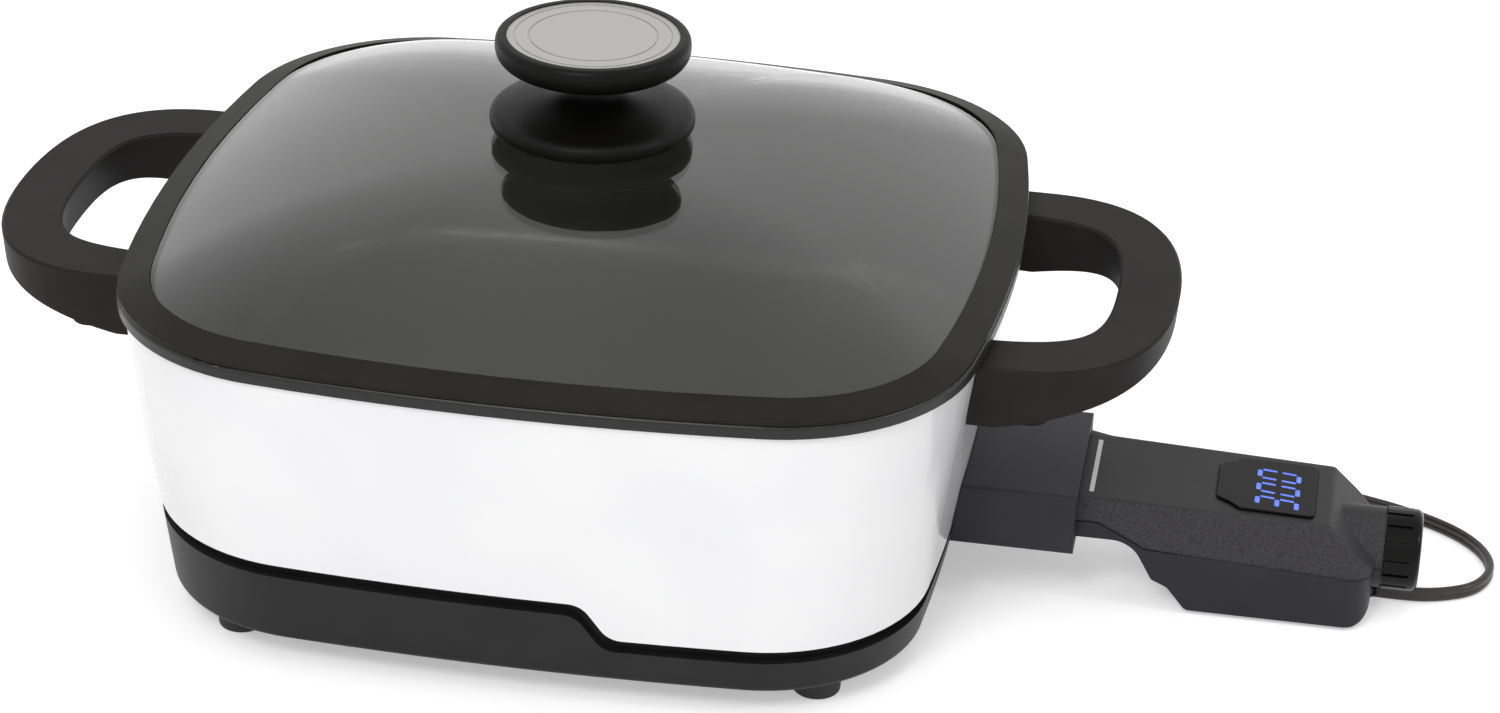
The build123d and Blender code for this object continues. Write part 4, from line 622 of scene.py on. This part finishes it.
# The free stretch from the strain relief to the coil, as in the CAD tube.
CORD_ROUTE = [
    (0.281, -0.0005, 0.0035),
    (0.291, -0.0001, 0.0029),
    (0.304, 0.0018, 0.0028),
    (0.318, 0.0095, 0.0028),
    (0.3235, 0.026, 0.0028),
    (0.315, 0.044, 0.0028),
    (0.295, 0.0575, 0.0028),
    (0.263, 0.068, 0.0028),
    (0.216, 0.080, 0.0028),
    (0.173, 0.090, 0.0028),
    (0.146, 0.105, 0.0028),
    (0.126, 0.131, 0.0028),
    (0.103, 0.152, 0.0028),
    (0.078, 0.1585, 0.0028),
]
COIL_TURNS = 3
POINTS_PER_TURN = 16
# Where each of the coil's rings starts and ends, in turns, its place beside the mean ring, and its
# height.
RING_ENDS = (0.06, 0.75, 0.92, 1.80, 2.05, 2.95)
RING_ASIDE = np.array((1, 1, -1, -1, 0, 0)) * 2.6 * MM
RING_HEIGHTS = np.array((2.8, 2.8, 2.8, 2.8, 7.8, 8.0)) * MM
# a spline of this kind runs inside its points, at this share of their radius
SPLINE_SHARE = 0.981
# the last two points, in front of and inside the plug's nose
BEFORE_PLUG = (9 * MM, 0.4 * MM)
INSIDE_PLUG = 1 * MM


def coil_points():
    """Three turns: one outside, one inside it, and one on top, then off to the plug's nose. The
    angle falls evenly, and the radius and height go from one ring to the next."""
    low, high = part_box("cord_coil")
    centre = (low + high) / 2
    bundle = (high.z - low.z) / 2
    mean = (high.x - low.x) / 2 - bundle
    steps = np.arange(1, POINTS_PER_TURN * COIL_TURNS + 1) / POINTS_PER_TURN
    angle = -pi / 2 - 2 * pi * steps
    radius = np.interp(steps, RING_ENDS, mean + RING_ASIDE) / SPLINE_SHARE
    height = np.interp(steps, RING_ENDS, RING_HEIGHTS)
    return np.column_stack(
        [centre.x + radius * np.cos(angle), centre.y + radius * np.sin(angle), height]
    )


def smooth_path(route):
    """Points along a quadratic spline that starts and ends at the route's ends."""
    curve = bpy.data.curves.new("cord_line", "CURVE")
    curve.dimensions = "3D"
    spline = curve.splines.new("NURBS")
    spline.points.add(len(route) - 1)
    spline.points.foreach_set("co", np.column_stack([route, np.ones(len(route))]).ravel())
    spline.order_u = 3
    spline.use_endpoint_u = True
    spline.resolution_u = 8
    line = bpy.data.objects.new("cord_line", curve)
    bpy.context.scene.collection.objects.link(line)
    sampled = bpy.data.meshes.new_from_object(line)
    path = np.array([vertex.co for vertex in sampled.vertices])
    bpy.data.objects.remove(line)
    bpy.data.meshes.remove(sampled)
    return path


def lead_section():
    """Heights and half thicknesses round two lobes, one above the other. The half thickness at a
    height h is a circle's chord, root(lobe^2 - (|h| - offset)^2), and less in the groove."""
    offset = CORD_HALF_WIDTH - LOBE_RADIUS
    turn = np.linspace(-pi / 2, pi / 2, 13)
    upper_h = offset + LOBE_RADIUS * np.sin(turn)
    upper_t = LOBE_RADIUS * np.cos(turn)
    keep = upper_h > GROOVE_HALF_HEIGHT
    side_h = np.concatenate([[0.0], upper_h[keep]])
    side_t = np.concatenate([[GROOVE_SHARE * LOBE_RADIUS], upper_t[keep]])
    right_h = np.concatenate([-side_h[:0:-1], side_h])
    right_t = np.concatenate([side_t[:0:-1], side_t])
    section_h = np.concatenate([right_h, right_h[-2:0:-1]])
    section_t = np.concatenate([right_t, -right_t[-2:0:-1]])
    return section_h, section_t


def twin_lead(path, material):
    """The lead's section carried along the path, square to it and on its edge, with a flat end
    at each tip."""
    section_h, section_t = lead_section()
    tangent = np.gradient(path, axis=0)
    tangent /= np.linalg.norm(tangent, axis=1, keepdims=True)
    side = np.cross(tangent, (0, 0, 1))
    side /= np.linalg.norm(side, axis=1, keepdims=True)
    up = np.cross(side, tangent)
    points = (
        path[:, None, :]
        + section_h[None, :, None] * up[:, None, :]
        + section_t[None, :, None] * side[:, None, :]
    )
    rings, around = points.shape[:2]
    index = np.arange(rings * around).reshape(rings, around)
    nearer, further = index[:-1], index[1:]
    quads = np.stack(
        [nearer, further, np.roll(further, -1, 1), np.roll(nearer, -1, 1)], axis=-1
    ).reshape(-1, 4)
    faces = quads.tolist() + [index[0].tolist(), index[-1][::-1].tolist()]
    return new_mesh(
        "power_lead", points.reshape(-1, 3), faces, material, "control"
    )


def add_cord(material):
    """A flat twin lead on one smooth line, standing on its edge as such a lead does in a bend."""
    plug_low, plug_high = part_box("plug_body")
    nose, middle = plug_high.x, (plug_low + plug_high) / 2
    ending = [
        (nose + BEFORE_PLUG[0], middle.y, middle.z + BEFORE_PLUG[1]),
        (nose - INSIDE_PLUG, middle.y, middle.z),
    ]
    path = smooth_path(np.vstack([CORD_ROUTE, coil_points(), ending]))
    piece = twin_lead(path, material)
    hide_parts("power_cord", "cord_coil")


# ------------------------------------------------------------------ floor and light
# What the floor adds to its lit paint to show white, and half its side in metres.
FLOOR_GLOW = 0.38
FLOOR_HALF = 0.6
# The room's light on the object: where it starts to fall and ends, by the sideways share of a
# direction, and its strengths there.
SCREEN_EDGE = (0.35, 0.85)
ROOM_LIGHT = (1.0, 0.18)


def shown_as_background(tree):
    """1 for the rays that show the background: straight, through glass or in a shiny surface."""
    seen = add(tree, "LightPath")
    clear = (seen["Is Camera Ray"], seen["Is Transmission Ray"])
    straight = add(tree, "Math", clear, operation="MAXIMUM")[0]
    return add(tree, "Math", (straight, seen["Is Glossy Ray"]), operation="MAXIMUM")[0]


def add_floor():
    """A white table top that shows white, with the object's shadow on it: what its paint lacks
    of white, it adds as a glow."""
    material, tree, _ = start_material("floor")
    glow = add(tree, "Math", (shown_as_background(tree), FLOOR_GLOW), operation="MULTIPLY")[0]
    paint = add(tree, "BsdfDiffuse", {"Color": colour("#f6f6f6")})[0]
    white = add(tree, "Emission", {"Color": (1, 1, 1, 1), "Strength": glow})[0]
    end_material(material, tree, add(tree, "AddShader", (paint, white))[0])
    corners = np.array([(-1, -1, 0), (1, -1, 0), (1, 1, 0), (-1, 1, 0)]) * FLOOR_HALF
    mesh = bpy.data.meshes.new("floor")
    mesh.from_pydata(corners, [], [(0, 1, 2, 3)])
    mesh.materials.append(material)
    floor = bpy.data.objects.new("floor", mesh)
    bpy.context.scene.collection.objects.link(floor)


def add_world():
    """A white room whose light on the object comes mostly from the front and the back. The
    background shows white."""
    world = bpy.data.worlds.new("room")
    world.use_nodes = True
    tree = world.node_tree
    tree.nodes.clear()
    heading = add(tree, "SeparateXYZ", (add(tree, "TexCoord")["Generated"],))
    sideways = add(tree, "Math", (heading["X"],), operation="ABSOLUTE")[0]
    light = add(tree, "MapRange", (sideways, *SCREEN_EDGE, *ROOM_LIGHT))[0]
    strength = add(tree, "MapRange", (shown_as_background(tree), 0, 1, light, 1.0))[0]
    room = add(tree, "Background", {"Color": (1, 1, 1, 1), "Strength": strength})
    add(tree, "OutputWorld", {"Surface": room[0]})
    bpy.context.scene.world = world


def add_light(name, place, aim, size, power):
    """A round soft light of that size in metres and power in watts at place, facing aim."""
    data = bpy.data.lights.new(name, "AREA")
    data.shape = "DISK"
    data.size = size
    data.energy = power
    lamp = bpy.data.objects.new(name, data)
    lamp.location = place
    lamp.rotation_euler = (Vector(aim) - Vector(place)).to_track_quat("-Z", "Y").to_euler()
    bpy.context.scene.collection.objects.link(lamp)


# ------------------------------------------------------------------ the scene
add_camera()
add_floor()
add_world()
add_light("key", place=(-0.25, -1.5, 1.6), aim=(0, 0, 0.08), size=0.7, power=12)
add_light("side", place=(1.75, -0.25, 1.0), aim=(0.2, 0, 0.06), size=0.3, power=4.5)
bpy.context.scene.view_settings.view_transform = "Standard"

casting = coated_casting()
handle_plastic = moulded_plastic(
    "nylon_handle", "#211f1e", "#272524", roughness=0.48, specular=0.08
)
base_plastic = moulded_plastic(
    "polypropylene_base", "#1e1d1d", "#242323", roughness=0.45, specular=0.2
)
guard_plastic = moulded_plastic(
    "polypropylene_guard",
    "#27252b",
    "#2d2b31",
    roughness=0.42,
    specular=0.22,
    edge=0.5 * MM,
)
control_plastic = moulded_plastic(
    "abs_control",
    "#2f2e2f",
    # the lighter colour is the painted glint on the grain's tops
    "#464447",
    roughness=0.44,
    specular=0.15,
    spacing=0.65 * MM,
    depth=0.3 * MM,
    sparkle=0.18,
    parted=True,
    edge=2.2 * MM,
)
smooth_plastic = moulded_plastic(
    "abs_lower_control",
    "#19171e",
    "#1f1d26",
    roughness=0.42,
    specular=0.3,
    parted=True,
    edge=2.2 * MM,
)
rim_silicone = silicone()
glass = tempered_glass()
knob_plastic = phenolic("satin_phenolic", 0.40)
dial_plastic = phenolic("polished_phenolic", 0.2)
insert_metal = spun_metal()
element_steel = metal("oxidised_sheath_steel", "#5d5750", "#7a736a", 0.42, 6 * MM)
bright_steel = metal("zinc_plated_steel", "#b4b6ba", "#cfd0d2", 0.26, 3 * MM)
brass = metal("brass", "#b8954a", "#d0ab5c", 0.3, 3 * MM)
foot_rubber = smooth_polymer("foot_rubber", "#171616", "#1f1e1e", 0.65, 1.0 * MM, 0.02 * MM)
cord_pvc = smooth_polymer("cord_pvc", "#1d1817", "#241e1c", 0.34, 2.0 * MM, 0.01 * MM)
ceramic = smooth_polymer("steatite_ceramic", "#d9d4c6", "#e6e1d4", 0.45, 1.0 * MM, 0.01 * MM)
laminate = smooth_polymer("board_laminate", "#11472b", "#18583a", 0.35, 2.0 * MM, 0.01 * MM)
relay_case = smooth_polymer("relay_case", "#16305f", "#1c3a70", 0.3, 3.0 * MM, 0.01 * MM)
window_acrylic = gloss_acrylic()
segment_light = lit_segments()
white_ink = printed_ink()

dress(casting, "pan")
dress(handle_plastic, "right_handle", "left_handle")
dress(base_plastic, "base_skirt")
dress(guard_plastic, "probe_guard")
dress(rim_silicone, "lid_rim", "knob_gasket")
dress(glass, "lid_glass")
dress(knob_plastic, "knob_collar", "knob_body")
dress(dial_plastic, "control_dial")
dress(insert_metal, "knob_insert")
dress(control_plastic, "control_upper_housing", "terminal_carrier")
dress(smooth_plastic, "control_lower_housing")
dress(window_acrylic, "display_window", "display_module")
dress(element_steel, "heating_element")
dress(bright_steel, "terminal_pins", "base_screws", "guard_screws", "right_handle_screws")
dress(bright_steel, "left_handle_screws", "knob_screw", "knob_washer", "front_housing_screws")
dress(bright_steel, "rear_housing_screws", "probe_rod", "dial_shaft", "dial_encoder")
dress(brass, "terminal_sockets", "plug_blades")
dress(ceramic, "pin_bushes")
dress(foot_rubber, "front_left_foot", "front_right_foot", "rear_left_foot", "rear_right_foot")
dress(laminate, "circuit_board")
dress(relay_case, "relay")
dress(cord_pvc, "cord_strain_relief", "plug_body")

add_digits("300", segment_light)
add_insertion_line(white_ink)
add_cord(cord_pvc)
